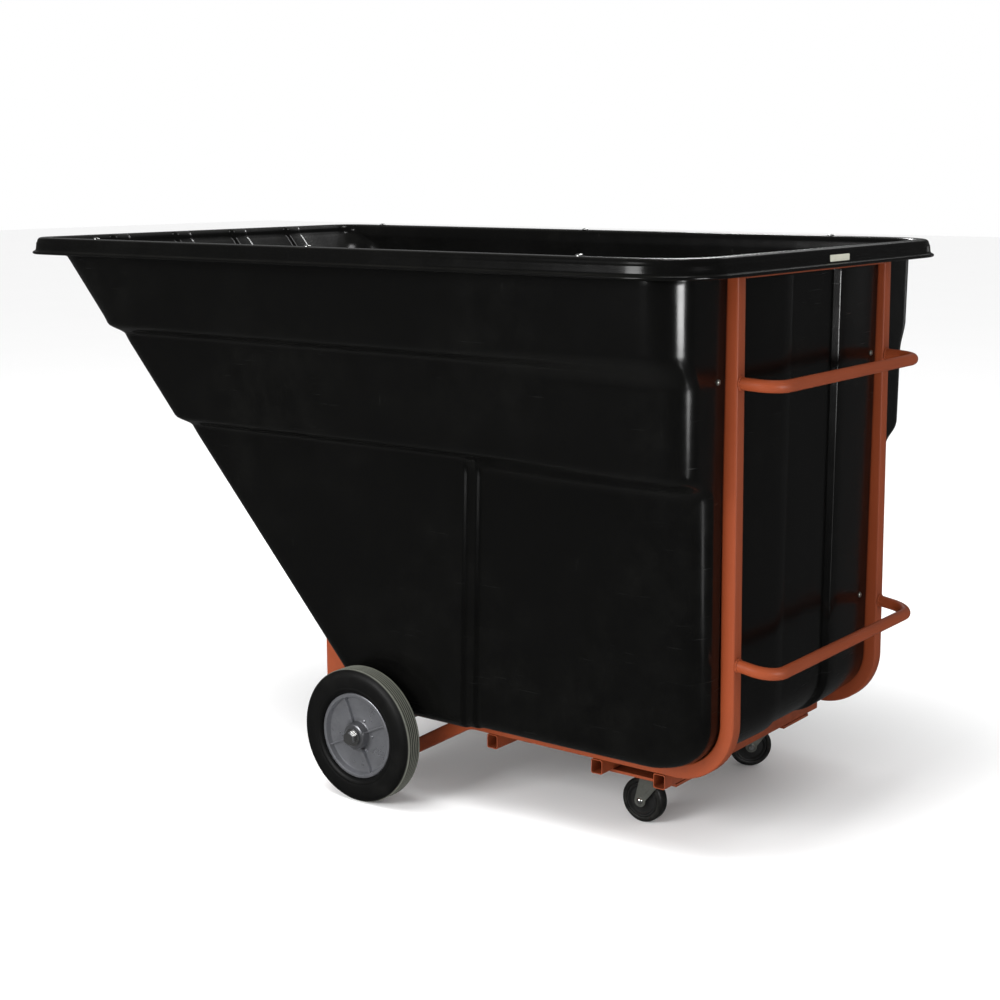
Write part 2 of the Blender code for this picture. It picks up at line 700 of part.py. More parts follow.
def build_casters():
    for side, sign in SIDES.items():
        x, y = CASTER_PIVOT
        pivot = empty("caster_pivot_" + side, (x, sign * y, 0))
        pivot.rotation_euler = (0, 0, CASTER_TURN[side])
        fork = object_from(fork_mesh(), "caster_fork_" + side, zinc_steel())
        fork.parent = pivot
        sheet = fork.modifiers.new("sheet", "SOLIDIFY")
        sheet.solidify_mode = "NON_MANIFOLD"
        sheet.nonmanifold_thickness_mode = "CONSTRAINTS"
        sheet.thickness = FORK_T
        sheet.offset = 0
        turn = Matrix.Rotation(CASTER_TURN[side], 4, "Z")
        base = Matrix.Translation((x, sign * y, 0)) @ turn
        axle_place = base @ Vector((-CASTER_TRAIL, 0, CASTER_R))
        axle_turn = Euler((math.pi / 2, 0, CASTER_TURN[side])).to_matrix().to_euler()
        drill(fork,
              cutter("fork_axle_hole_" + side, 0.0043, 0.08, axle_place, axle_turn),
              cutter("fork_pivot_hole_" + side, 0.0083, 0.02, base @ Vector((0, 0, FORK_TOP))))

        spin = empty("caster_wheel_axis_" + side, (-CASTER_TRAIL, 0, CASTER_R), pivot)
        spin.rotation_euler = (math.pi / 2, 0, 0)
        half = CASTER_W / 2
        tyre = turned("caster_tyre_" + side,
                      [(0.0376, half - 0.0020), (0.0400, half), (0.0455, half),
                       (0.0488, half - 0.0030), (CASTER_R, half - 0.0075),
                       (CASTER_R, 0.0075 - half), (0.0488, 0.0030 - half),
                       (0.0455, -half), (0.0400, -half), (0.0376, 0.0020 - half)],
                      tyre_rubber(), steps=28)
        hub = turned("caster_hub_" + side,
                     [(0.0043, half + 0.0015), (0.0105, half + 0.0015),
                      (0.0120, half - 0.0030), (0.0320, half - 0.0040),
                      (0.0345, half - 0.0015), (0.0370, half - 0.0020),
                      (0.0370, 0.0020 - half), (0.0345, 0.0015 - half),
                      (0.0320, 0.0040 - half), (0.0120, 0.0030 - half),
                      (0.0105, -half - 0.0015), (0.0043, -half - 0.0015)],
                     hopper_plastic(), steps=24)
        for piece in (tyre, hub):
            piece.parent = spin
        reach = half + 0.0030 + FORK_T + GAP
        bolt = turned("caster_axle_" + side,
                      [(0, reach + 0.0050), (0.0052, reach + 0.0050), (0.0075, reach + 0.0035),
                       (0.0075, reach), (0.0040, reach), (0.0040, -reach - 0.0080),
                       (0, -reach - 0.0080)],
                      plated_steel(), steps=12, closed=False)
        nut = turned("caster_axle_nut_" + side,
                     [(0.0050, -reach), (0.0080, -reach), (0.0080, -reach - 0.0065),
                      (0.0050, -reach - 0.0065)],
                     plated_steel(), steps=6)
        for piece in (bolt, nut):
            piece.parent = pivot
            piece.location = (-CASTER_TRAIL, 0, CASTER_R)
            # the bolt's head is on the side away from the centre of the truck
            piece.rotation_euler = (-sign * math.pi / 2, 0, 0)
        build_caster_top(side, x, sign * y)


def build_caster_top(side, x, y):
    """Fixed top plate with its pivot, race and four bolts, and the mounting plate."""
    plate_z = (RACE_TOP + GAP + CASTER_PLATE_TOP) / 2
    plate = block("caster_plate_" + side, (0.095, 0.068, CASTER_PLATE_TOP - RACE_TOP - GAP),
                  (x, y, plate_z), zinc_steel())
    race = turned("race_" + side,
                  [(0.0083, RACE_TOP + 0.0020), (0.0225, RACE_TOP + 0.0020),
                   (0.0245, RACE_TOP - 0.0030), (0.0220, FORK_TOP + GAP),
                   (0.0083, FORK_TOP + GAP)],
                  None, steps=24, group="cutters")
    race.location = (x, y, 0)
    race.hide_render = True
    race.display_type = "WIRE"
    weld = plate.modifiers.new("pressed_race", "BOOLEAN")
    weld.operation = "UNION"
    weld.solver = "EXACT"
    weld.object = race
    kingpin = turned("caster_kingpin_" + side,
                     [(0, CASTER_PLATE_TOP), (0.0080, CASTER_PLATE_TOP),
                      (0.0080, FORK_TOP - FORK_T - GAP), (0.0110, FORK_TOP - FORK_T - GAP),
                      (0.0110, FORK_TOP - FORK_T - 0.0020), (0, FORK_TOP - FORK_T - 0.0020)],
                     plated_steel(), steps=16, closed=False)
    kingpin.location = (x, y, 0)
    drill(plate, cutter("plate_pivot_hole_" + side, 0.0083, 0.02, (x, y, plate_z)))
    mount_low = CASTER_PLATE_TOP + GAP
    mount_high = CROSS_Z - CROSS_H / 2 - GAP
    mount = block("caster_mount_" + side,
                  (CROSS_X["rear"] - CROSS_X["middle"] + CROSS_W, 0.122, mount_high - mount_low),
                  ((CROSS_X["rear"] + CROSS_X["middle"]) / 2, math.copysign(0.2395, y),
                   (mount_low + mount_high) / 2), frame_paint())
    for i, (dx, dy) in enumerate(((-0.037, -0.0235), (0.037, -0.0235),
                                  (-0.037, 0.0235), (0.037, 0.0235)), 1):
        place = (x + dx, y + dy, RACE_TOP)
        bolt = dome_bolt("caster_bolt_%s_%d" % (side, i), 0.0115, plated_steel(),
                         head=0.0070, radius=0.0038)
        bolt.location = place
        bolt.rotation_euler = (math.pi, 0, 0)
        hole = cutter("caster_bolt_hole_%s_%d" % (side, i), 0.0041, 0.06, place)
        drill(plate, hole)
        drill(mount, hole)


def build():
    clear_scene()
    build_side_frames()
    build_cross_tubes()
    build_rear_bar()
    build_handles()
    build_side_plates()
    build_nose_tube()
    hopper = build_hopper()
    build_rim_parts(hopper)
    build_rear_bolts(hopper)
    build_label()
    build_main_wheels()
    build_casters()


build()
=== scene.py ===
import json
import math

import bmesh
import bpy
import numpy as np
from mathutils import Matrix, Vector


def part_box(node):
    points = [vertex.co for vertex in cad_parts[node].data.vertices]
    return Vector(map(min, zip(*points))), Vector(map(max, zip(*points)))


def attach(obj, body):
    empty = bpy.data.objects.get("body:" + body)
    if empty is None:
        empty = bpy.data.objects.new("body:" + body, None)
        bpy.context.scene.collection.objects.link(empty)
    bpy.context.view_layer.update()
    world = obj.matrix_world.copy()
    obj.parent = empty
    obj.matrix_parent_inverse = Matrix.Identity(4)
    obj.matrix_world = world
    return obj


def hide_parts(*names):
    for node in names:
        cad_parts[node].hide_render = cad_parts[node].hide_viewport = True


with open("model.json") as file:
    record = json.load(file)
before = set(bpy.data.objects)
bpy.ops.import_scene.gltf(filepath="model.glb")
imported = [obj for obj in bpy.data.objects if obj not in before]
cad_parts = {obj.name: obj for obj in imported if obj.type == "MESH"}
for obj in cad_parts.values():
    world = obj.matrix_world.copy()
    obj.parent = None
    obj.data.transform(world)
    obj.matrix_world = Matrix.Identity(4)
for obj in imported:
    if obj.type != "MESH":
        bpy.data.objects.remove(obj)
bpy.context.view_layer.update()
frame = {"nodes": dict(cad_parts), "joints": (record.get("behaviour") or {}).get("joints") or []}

SIDES = {"right": -1, "left": 1}


def middle(node):
    low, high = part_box(node)
    return (low + high) / 2


# ---------------------------------------------------------------- places read from the frame

AXLE = middle("axle")
AXLE_X, WHEEL_R = AXLE.x, AXLE.z
TYRE_LOW, TYRE_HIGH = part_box("tyre_right")
WHEEL_Y = abs(middle("tyre_right").y)
WHEEL_HALF = (TYRE_HIGH.y - TYRE_LOW.y) / 2
AXLE_R = (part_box("axle")[1].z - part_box("axle")[0].z) / 2
AXLE_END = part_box("axle")[1].y
FRAME_LOW, FRAME_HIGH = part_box("side_frame_right")
TUBE = FRAME_HIGH.y - FRAME_LOW.y
TUBE_Y = abs(middle("side_frame_right").y)
HOPPER_LOW, HOPPER_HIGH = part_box("hopper")
FLOOR_OUT = HOPPER_LOW.z
RIM_Z = HOPPER_HIGH.z


# ---------------------------------------------------------------- mesh helpers

def finish_mesh(obj, material, body, nodes=(), smooth=35):
    mesh = obj.data
    mesh.materials.clear()
    mesh.materials.append(material)
    mesh.shade_smooth()
    mesh.set_sharp_from_angle(angle=math.radians(smooth))
    if nodes:
        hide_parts(*nodes)
    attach(obj, body)
    return obj


def new_object(name, data):
    obj = bpy.data.objects.new(name, data)
    bpy.context.scene.collection.objects.link(obj)
    return obj


def from_bmesh(name, bm):
    bmesh.ops.remove_doubles(bm, verts=bm.verts, dist=1e-6)
    bmesh.ops.recalc_face_normals(bm, faces=bm.faces)
    mesh = bpy.data.meshes.new(name)
    bm.to_mesh(mesh)
    bm.free()
    return new_object(name, mesh)


def piece(name, bm, look, body, nodes=(), smooth=35):
    """Turns a bmesh into a finished piece with a look from LOOK."""
    return finish_mesh(from_bmesh(name, bm), LOOK[look], body, nodes, smooth)


def recolour(node, look):
    """Gives a CAD object its look."""
    materials = frame["nodes"][node].data.materials
    materials.clear()
    materials.append(LOOK[look])


def lofted(bm, rings, closed=False, caps=True):
    """Joins rings of equal length with quads; the rings themselves are closed."""
    loops = [[bm.verts.new(p) for p in ring] for ring in rings]
    pairs = list(zip(loops, loops[1:]))
    if closed:
        pairs.append((loops[-1], loops[0]))
    for low, high in pairs:
        for i in range(len(low)):
            j = (i + 1) % len(low)
            bm.faces.new((low[i], low[j], high[j], high[i]))
    if caps and not closed:
        bm.faces.new(loops[0][::-1])
        bm.faces.new(loops[-1])
    return loops


def lathe(bm, profile, steps, place):
    """Closed profile of (radius, along) turned about local Z, then placed."""
    rings = []
    for i in range(steps):
        a = math.tau * i / steps
        rings.append([place @ Vector((r * math.cos(a), r * math.sin(a), z))
                      for r, z in profile])
    lofted(bm, rings, closed=True)


def solid_turn(bm, profile, steps, place):
    """Open profile from axis to axis, as (radius, along), turned into a solid."""
    rings = []
    for r, z in profile[1:-1]:
        rings.append([place @ Vector((r * math.cos(math.tau * i / steps),
                                      r * math.sin(math.tau * i / steps), z))
                      for i in range(steps)])
    loops = lofted(bm, rings, caps=False)
    for end, loop in ((profile[0], loops[0]), (profile[-1], loops[-1])):
        tip = bm.verts.new(place @ Vector((0, 0, end[1])))
        for i in range(steps):
            bm.faces.new((loop[i], loop[(i + 1) % steps], tip))


def arc(centre, radius, start, end, steps):
    """Points of an arc in a plane, angles in degrees."""
    return [(centre[0] + radius * math.cos(math.radians(start + (end - start) * i / steps)),
             centre[1] + radius * math.sin(math.radians(start + (end - start) * i / steps)))
            for i in range(steps + 1)]


def rounded_rectangle(width, height, radius, steps=4):
    points = []
    for q, (sx, sy) in enumerate(((1, 1), (-1, 1), (-1, -1), (1, -1))):
        points += arc((sx * (width / 2 - radius), sy * (height / 2 - radius)), radius,
                      90 * q, 90 * q + 90, steps)
    return points


def swept(bm, path, section, up, caps=True):
    """A section carried along a path; the section's second axis starts along up."""
    path = [Vector(p) for p in path]
    rings = []
    normal = Vector(up).normalized()
    for i, p in enumerate(path):
        along = (path[min(i + 1, len(path) - 1)] - path[max(i - 1, 0)]).normalized()
        normal = (normal - along * normal.dot(along)).normalized()
        side = along.cross(normal)
        stretch, bend = 1.0, Vector()
        if 0 < i < len(path) - 1:
            one, two = (p - path[i - 1]).normalized(), (path[i + 1] - p).normalized()
            stretch = 1 / max(0.5, math.cos(one.angle(two, 0) / 2))
            bend = (two - one).normalized()
        ring = []
        for a, b in section:
            offset = side * a + normal * b
            if stretch > 1.0:
                offset = offset + bend * offset.dot(bend) * (stretch - 1)
            ring.append(p + offset)
        rings.append(ring)
    return lofted(bm, rings, caps=caps)


def plate(bm, outline, thickness, place):
    """A flat plate with an outline in its own XY plane, centred on it."""
    verts = [bm.verts.new(place @ Vector((x, y, -thickness / 2))) for x, y in outline]
    top = [bm.verts.new(place @ Vector((x, y, thickness / 2))) for x, y in outline]
    bm.faces.new(verts[::-1])
    bm.faces.new(top)
    for i in range(len(outline)):
        j = (i + 1) % len(outline)
        bm.faces.new((verts[i], verts[j], top[j], top[i]))


def soften(obj, width, segments=3, angle=30):
    edge = obj.modifiers.new("edges", "BEVEL")
    edge.width = width
    edge.segments = segments
    edge.limit_method = "ANGLE"
    edge.angle_limit = math.radians(angle)


def both_sides(profile):
    """Closes a profile of (radius, along) with its mirror image."""
    return profile + [(r, -z) for r, z in reversed(profile)]


def facing(point, direction):
    """Matrix that sends local Z to direction at a point."""
    turn = Vector(direction).normalized().to_track_quat("Z", "Y")
    return Matrix.Translation(point) @ turn.to_matrix().to_4x4()


def smoothstep(t):
    t = np.clip(t, 0.0, 1.0)
    return t * t * (3 - 2 * t)


# ---------------------------------------------------------------- node helpers

class Nodes:
    """Small helper that wires a Principled material."""

    def __init__(self, name, **values):
        self.material = bpy.data.materials.new(name)
        self.material.use_nodes = True
        self.tree = self.material.node_tree
        self.shader = self.tree.nodes["Principled BSDF"]
        for key, value in values.items():
            self.shader.inputs[key.replace("_", " ")].default_value = value
        self.where = self.tree.nodes.new("ShaderNodeTexCoord").outputs["Object"]

    def node(self, kind, **inputs):
        made = self.tree.nodes.new(kind)
        for key, value in inputs.items():
            self.put(made.inputs[key.replace("_", " ")], value)
        return made

    def put(self, socket, value):
        if isinstance(value, bpy.types.NodeSocket):
            self.tree.links.new(value, socket)
        else:
            socket.default_value = value

    def noise(self, scale, detail=4.0, rough=0.5, where=None):
        made = self.node("ShaderNodeTexNoise", Scale=scale, Detail=detail, Roughness=rough,
                         Vector=where or self.where)
        return made.outputs["Fac"]

    def stretched(self, scale, turn=(0, 0, 0)):
        made = self.node("ShaderNodeMapping", Vector=self.where)
        made.inputs["Scale"].default_value = scale
        made.inputs["Rotation"].default_value = turn
        return made.outputs["Vector"]

    def ramp(self, value, stops):
        made = self.node("ShaderNodeValToRGB", Fac=value)
        ends = made.color_ramp.elements
        while len(ends) < len(stops):
            ends.new(0.5)
        for element, (place, shade) in zip(ends, stops):
            element.position = place
            shade = (shade,) * 3 if isinstance(shade, (int, float)) else shade
            element.color = (*shade, 1.0)
        return made.outputs["Color"]

    def rise(self, value, low, high):
        """0 below low and 1 above high."""
        return self.ramp(value, [(low, 0.0), (high, 1.0)])

    def math(self, kind, a, b=0.0):
        made = self.tree.nodes.new("ShaderNodeMath")
        made.operation = kind
        self.put(made.inputs[0], a)
        self.put(made.inputs[1], b)
        return made.outputs[0]

    def times(self, a, b):
        return self.math("MULTIPLY", a, b)

    def line(self, value, slope, start):
        """start + slope * value"""
        return self.math("ADD", self.times(value, slope), start)

    def blend(self, amount, a, b):
        made = self.tree.nodes.new("ShaderNodeMix")
        made.data_type = "RGBA"
        self.put(made.inputs["Factor"], amount)
        for name, value in (("A", a), ("B", b)):
            socket = [s for s in made.inputs if s.name == name and s.type == "RGBA"][0]
            if isinstance(value, tuple) and len(value) == 3:
                value = (*value, 1.0)
            self.put(socket, value)
        return [s for s in made.outputs if s.type == "RGBA"][0]

    def split(self, vector=None):
        return self.node("ShaderNodeSeparateXYZ", Vector=vector or self.where).outputs

    def bump(self, height, distance, strength=1.0, under=None):
        made = self.node("ShaderNodeBump", Height=height, Distance=distance,
                         Strength=strength)
        if under:
            self.tree.links.new(under, made.inputs["Normal"])
        return made.outputs["Normal"]

    def set(self, **sockets):
        for key, value in sockets.items():
            self.put(self.shader.inputs[key.replace("_", " ")], value)
        return self.material


def radius_about(n, x, z):
    """Distance from an axis along Y through (x, z), as a node value."""
    axes = n.split()
    dx = n.math("SUBTRACT", axes["X"], x)
    dz = n.math("SUBTRACT", axes["Z"], z)
    return n.math("SQRT", n.math("ADD", n.times(dx, dx),
                                 n.times(dz, dz)))


# ---------------------------------------------------------------- materials

def hopper_plastic():
    n = Nodes("hopper_plastic_look", Specular_IOR_Level=0.22)
    broad = n.noise(2.2, 3.0, 0.6)
    cloud = n.noise(14.0, 6.0, 0.65)
    dust = n.times(n.rise(broad, 0.42, 0.75),
                  n.rise(cloud, 0.40, 0.72))
    up = n.split(n.node("ShaderNodeNewGeometry").outputs["Normal"])["Z"]
    settled = n.times(n.rise(up, 0.55, 0.95),
                     n.ramp(cloud, [(0.30, 0.25), (0.70, 1.0)]))
    dusty = n.math("MAXIMUM", n.times(dust, 0.10),
                   n.times(settled, 0.22))
    scuff_a = n.noise(1.0, 5.0, 0.6, n.stretched((9, 9, 260), (0.25, 0.15, 0)))
    scuff_b = n.noise(1.0, 5.0, 0.6, n.stretched((220, 220, 7), (0.08, 0.05, 0.3)))
    scuffs = n.times(n.rise(scuff_a, 0.66, 0.72),
                    n.rise(broad, 0.50, 0.62))
    runs = n.times(n.rise(scuff_b, 0.66, 0.74),
                  n.rise(cloud, 0.52, 0.66))
    marks = n.math("MAXIMUM", scuffs, runs)
    # Faces that look down get a lighter base colour: painted light, standing in for the bounce from the
    # pale floor below, so the ledge undersides read less dark
    under = n.rise(n.times(up, -1.0), 0.12, 0.62)
    colour = n.blend(under, (0.0017, 0.0017, 0.0016), (0.0032, 0.0032, 0.0030))
    colour = n.blend(dusty, colour, (0.022, 0.022, 0.019))
    colour = n.blend(n.times(marks, 0.16), colour, (0.028, 0.028, 0.026))
    rough = n.line(cloud, 0.12, 0.13)
    rough = n.math("ADD", rough, n.times(n.math("MAXIMUM", dusty, marks), 0.30))
    wave = n.bump(n.noise(11.0, 2.0, 0.4), 0.0016, 0.55)
    peel = n.bump(n.noise(520.0, 2.0, 0.5), 0.00010, 0.5, wave)
    scar = n.bump(marks, 0.00008, 0.6, peel)
    return n.set(Base_Color=colour, Roughness=rough, Normal=scar)


def frame_paint():
    n = Nodes("frame_paint_look", Specular_IOR_Level=0.13)
    cloud = n.noise(9.0, 5.0, 0.6)
    speck = n.noise(160.0, 3.0, 0.6)
    colour = n.blend(cloud, (0.186, 0.0370, 0.0121), (0.231, 0.0482, 0.0166))
    low = n.split()["Z"]
    grime = n.times(n.ramp(low, [(0.02, 1.0), (0.34, 0.0)]),
                   n.rise(n.noise(30.0, 6.0, 0.7), 0.40, 0.70))
    colour = n.blend(n.times(grime, 0.55), colour, (0.085, 0.030, 0.018))
    chips = n.times(n.rise(speck, 0.70, 0.735),
                   n.rise(cloud, 0.55, 0.68))
    colour = n.blend(n.times(chips, 0.8), colour, (0.055, 0.028, 0.020))
    rough = n.line(cloud, 0.14, 0.36)
    rough = n.math("ADD", rough, n.times(n.math("MAXIMUM", grime, chips), 0.25))
    peel = n.bump(n.noise(430.0, 2.0, 0.5), 0.00012, 0.6)
    chip = n.bump(n.math("SUBTRACT", 1.0, chips), 0.00010, 0.8, peel)
    return n.set(Base_Color=colour, Roughness=rough, Normal=chip)


def tyre_rubber(side):
    n = Nodes("tyre_rubber_look_" + side, Specular_IOR_Level=0.20)
    radius = radius_about(n, AXLE_X, WHEEL_R)
    tread = n.rise(n.times(radius, 1 / WHEEL_R), 0.978, 0.994)
    grooves = n.rise(n.times(radius, 1 / WHEEL_R), 0.984, 0.996)
    cloud = n.noise(40.0, 6.0, 0.7)
    fine = n.noise(700.0, 3.0, 0.6)
    dusty = n.times(tread, n.line(cloud, 0.5, 0.55))
    dusty = n.times(dusty, n.line(grooves, 0.88, 0.12))
    colour = n.blend(dusty, (0.0022, 0.0022, 0.0021), (0.122, 0.126, 0.105))
    smear = n.times(n.rise(n.noise(18.0, 5.0, 0.7), 0.50, 0.75),
                   n.math("SUBTRACT", 1.0, tread))
    colour = n.blend(n.times(smear, 0.20), colour, (0.018, 0.018, 0.016))
    rough = n.line(cloud, 0.15, 0.42)
    rough = n.math("ADD", rough, n.times(tread, 0.30))
    grain = n.bump(fine, 0.00012, 0.5)
    return n.set(Base_Color=colour, Roughness=rough, Normal=grain)


def cast_wheel():
    n = Nodes("wheel_metal_look", Metallic=0.85)
    radius = radius_about(n, AXLE_X, WHEEL_R)
    turned = n.node("ShaderNodeTexNoise", Scale=1.0, Detail=3.0)
    turned.noise_dimensions = "1D"
    n.put(turned.inputs["W"], n.times(radius, 900.0))
    rings = turned.outputs["Fac"]
    cloud = n.noise(22.0, 6.0, 0.65)
    grain = n.noise(420.0, 3.0, 0.6)
    colour = n.blend(cloud, (0.25, 0.255, 0.275), (0.38, 0.385, 0.41))
    stain = n.rise(n.noise(46.0, 6.0, 0.75), 0.50, 0.85)
    colour = n.blend(n.times(stain, 0.30), colour, (0.075, 0.072, 0.066))
    # The dish round the boss is darkened: painted shade of the recess about the boss, with some grease
    # on it
    inner = n.ramp(n.times(radius, 10.0), [(0.30, 1.0), (0.42, 0.0)])
    colour = n.blend(n.times(inner, 0.55), colour, (0.045, 0.044, 0.042))
    rough = n.line(cloud, 0.18, 0.20)
    lines = n.bump(rings, 0.00006, 0.35)
    cast = n.bump(grain, 0.00012, 0.45, lines)
    return n.set(Base_Color=colour, Roughness=rough, Normal=cast)


def plated():
    n = Nodes("plated_look", Metallic=1.0)
    cloud = n.noise(120.0, 5.0, 0.6)
    colour = n.blend(cloud, (0.50, 0.50, 0.50), (0.78, 0.78, 0.76))
    spots = n.rise(n.noise(330.0, 4.0, 0.7), 0.62, 0.72)
    colour = n.blend(n.times(spots, 0.5), colour, (0.16, 0.13, 0.10))
    rough = n.line(cloud, 0.16, 0.12)
    scratch = n.noise(1.0, 4.0, 0.6, n.stretched((180, 1500, 180), (0.4, 0.2, 0.9)))
    return n.set(Base_Color=colour, Roughness=rough, Normal=n.bump(scratch, 0.00004, 0.3))


def zinc():
    n = Nodes("zinc_look", Metallic=0.85)
    cells = n.node("ShaderNodeTexVoronoi", Scale=160.0, Vector=n.where).outputs["Color"]
    cloud = n.noise(60.0, 5.0, 0.6)
    colour = n.blend(cloud, (0.15, 0.155, 0.135), (0.25, 0.255, 0.23))
    colour = n.blend(n.times(n.rise(cells, 0.2, 0.9), 0.18),
                     colour, (0.34, 0.345, 0.32))
    dull = n.rise(n.noise(85.0, 6.0, 0.75), 0.52, 0.78)
    colour = n.blend(n.times(dull, 0.5), colour, (0.08, 0.078, 0.066))
    rough = n.line(cloud, 0.22, 0.28)
    return n.set(Base_Color=colour, Roughness=rough, Normal=n.bump(cloud, 0.00010, 0.3))


def caster_rubber():
    n = Nodes("caster_rubber_look", Specular_IOR_Level=0.22)
    cloud = n.noise(70.0, 6.0, 0.7)
    dust = n.rise(n.noise(38.0, 5.0, 0.7), 0.42, 0.72)
    colour = n.blend(n.times(dust, 0.30), (0.0032, 0.0032, 0.0030),
                     (0.055, 0.054, 0.047))
    rough = n.line(cloud, 0.2, 0.38)
    return n.set(Base_Color=colour, Roughness=rough, Normal=n.bump(cloud, 0.00015, 0.4))


def caster_hub_plastic():
    n = Nodes("caster_hub_look", Specular_IOR_Level=0.4)
    cloud = n.noise(90.0, 6.0, 0.7)
    colour = n.blend(cloud, (0.0045, 0.0045, 0.0045), (0.014, 0.014, 0.0135))
    rough = n.line(cloud, 0.2, 0.30)
    return n.set(Base_Color=colour, Roughness=rough, Normal=n.bump(cloud, 0.00010, 0.4))


def nylon():
    n = Nodes("nylon_look", Specular_IOR_Level=0.4, Subsurface_Weight=0.05)
    cloud = n.noise(120.0, 5.0, 0.6)
    colour = n.blend(cloud, (0.30, 0.28, 0.22), (0.46, 0.44, 0.37))
    grease = n.rise(n.noise(70.0, 5.0, 0.7), 0.45, 0.65)
    colour = n.blend(n.times(grease, 0.8), colour, (0.03, 0.027, 0.022))
    rough = n.line(cloud, 0.2, 0.32)
    return n.set(Base_Color=colour, Roughness=rough, Normal=n.bump(cloud, 0.0001, 0.3))


def label_plate():
    n = Nodes("label_look", Specular_IOR_Level=0.4)
    cloud = n.noise(60.0, 6.0, 0.65)
    colour = n.blend(cloud, (0.46, 0.46, 0.37), (0.60, 0.60, 0.50))
    worn = n.rise(n.noise(150.0, 6.0, 0.7), 0.58, 0.72)
    colour = n.blend(n.times(worn, 0.35), colour, (0.17, 0.17, 0.14))
    rough = n.line(cloud, 0.2, 0.35)
    return n.set(Base_Color=colour, Roughness=rough, Normal=n.bump(cloud, 0.00008, 0.3))


def floor_look():
    n = Nodes("floor_look", Specular_IOR_Level=0.1)
    cloud = n.noise(1.2, 5.0, 0.6)
    colour = n.blend(cloud, (0.955, 0.955, 0.955), (0.975, 0.975, 0.975))
    return n.set(Base_Color=colour, Roughness=0.85)


LOOK = {
    "hopper": hopper_plastic(), "paint": frame_paint(), "wheel": cast_wheel(),
    "plated": plated(), "zinc": zinc(), "caster": caster_rubber(),
    "hub": caster_hub_plastic(), "nylon": nylon(), "label": label_plate(),
}
LOOK.update({"tyre_" + side: tyre_rubber(side) for side in SIDES})


# ---------------------------------------------------------------- hopper

WALL = 0.006
NOSE_SLOPE = -0.8717              # x of the nose line per metre of height
NOSE_LOW = (AXLE_X - 0.180, 0.3245)
REAR_X = AXLE_X + 0.8225
FLOOR_EDGE_R = 0.030
FLOOR_NOSE_R = 0.060
FLOOR_REAR_R = 0.103
UPPER_CORNER_R, MIDDLE_CORNER_R, LOWER_CORNER_R = 0.079, 0.060, 0.058
NOSE_CORNER_R = (0.092, 0.070, 0.064)
RIM_CORNER_R = (0.045, 0.098)     # nose, rear
STEP_AT = (AXLE_X + 0.266, AXLE_X + 0.292)
STEP_LEAN = 0.049                  # both steps lean forward going down
STEP_IN = 0.0105
STEP_FADE_Z = (0.775, 0.806)       # the steps end here, at the lower ledge
CHANNEL_Y = (0.090, 0.108)
CHANNEL_IN = 0.012
CHANNEL_KNEE = 0.22                # share of the channel's wall that is rounded over
CROWN, CROWN_SIDE = 0.0155, 0.45
GROOVE_Y = (TUBE_Y - TUBE / 2 - 0.0015, TUBE_Y + TUBE / 2 + 0.0015)
CROWN_END_Y = GROOVE_Y[0] - 0.004
UPRIGHT_TOP = (AXLE_X + 0.8278, 1.190)
UPRIGHT_LEAN = 0.0134
RIM_FOOT_Z = 1.212
RIM_FLARE = 0.0145
NOSE_RIBS = ((0.070, 0.134), (0.280, 0.344))
NOSE_DROP = 0.0115                # draws out the nose wall's flare, on its outside only
NOSE_RIB_IN = 0.0095


def ledge(z, low, high, below, above):
    """A moulded ledge: a quick swell between two heights with rounded ends."""
    t = (z - low) / (high - low)
    return below + (above - below) * smoothstep(t)


def bottom_band(z):
    """Outer half width of the sides below the lower ledge."""
    return 0.4370 + (0.4645 - 0.4370) * min(z, 0.80) / 0.795


def top_band(z):
    """The same above the upper ledge."""
    return 0.5452 + 0.0028 * (z - 1.05) / 0.14


def half_nose(z):
    """Outer half width of the sides at the nose end, with two crisp ledges."""
    middle_band = 0.5005 + 0.0042 * (z - 0.83) / 0.17
    width = ledge(z, 0.796, 0.822, bottom_band(z), middle_band)
    return ledge(z, 1.006, 1.034, width, top_band(z))


def half_rear(z):
    """The same at the rear corners, where the ledges are drawn out taller."""
    middle_band = 0.5040 + 0.0030 * (z - 0.83) / 0.17
    width = ledge(z, 0.758, 0.820, bottom_band(z), middle_band)
    return ledge(z, 0.982, 1.050, width, top_band(z))


def lower_share(z):
    """1 below the lower ledge and 0 above it."""
    low, high = STEP_FADE_Z
    return float(1 - smoothstep((z - low) / (high - low)))


def rounding(depth, radius):
    """How far a rounded edge has drawn in at a depth below its start."""
    if depth <= 0:
        return 0.0
    depth = min(depth, radius)
    return radius - math.sqrt(max(0.0, radius * radius - depth * depth))


def groove_face(z):
    front = UPRIGHT_TOP[0] + (UPRIGHT_TOP[1] - z) * UPRIGHT_LEAN - TUBE / 2 - 0.001
    return min(front, REAR_X)


def soft_step(value, edge, width):
    """0 before an edge and 1 after it, over a width."""
    return float(smoothstep((value - edge) / width + 0.5))


def ramp_step(value, edge, width):
    """A step with an almost straight face, so that it shows as one clean line."""
    t = min(1.0, max(0.0, (value - edge) / width + 0.5))
    return 0.7 * t + 0.3 * float(smoothstep(t))


def rear_profile(y, z, flat):
    """Rear wall's outer face relative to REAR_X, at a distance from the middle."""
    share = min(1.0, max(0.0, (y - CHANNEL_Y[1]) / (CROWN_END_Y - CHANNEL_Y[1])))
    crown = CROWN * (1 - (1 - CROWN_SIDE) * share ** 1.5)
    crown *= 1 - soft_step(y, (CROWN_END_Y + GROOVE_Y[0]) / 2, 0.0045)
    fall = min(1.0, max(0.0, (CHANNEL_Y[1] + 0.0030 - y) / 0.0120))
    knee = CHANNEL_KNEE
    fall = fall * fall if fall < knee else knee * (2 * fall - knee)
    channel = -CHANNEL_IN * fall / (knee * (2 - knee))
    groove = (groove_face(z) - REAR_X) * soft_step(y, GROOVE_Y[0], 0.003)
    groove *= 1 - soft_step(y, GROOVE_Y[1] + 0.0015, 0.003)
    return (crown + channel + groove) * (1 - flat)


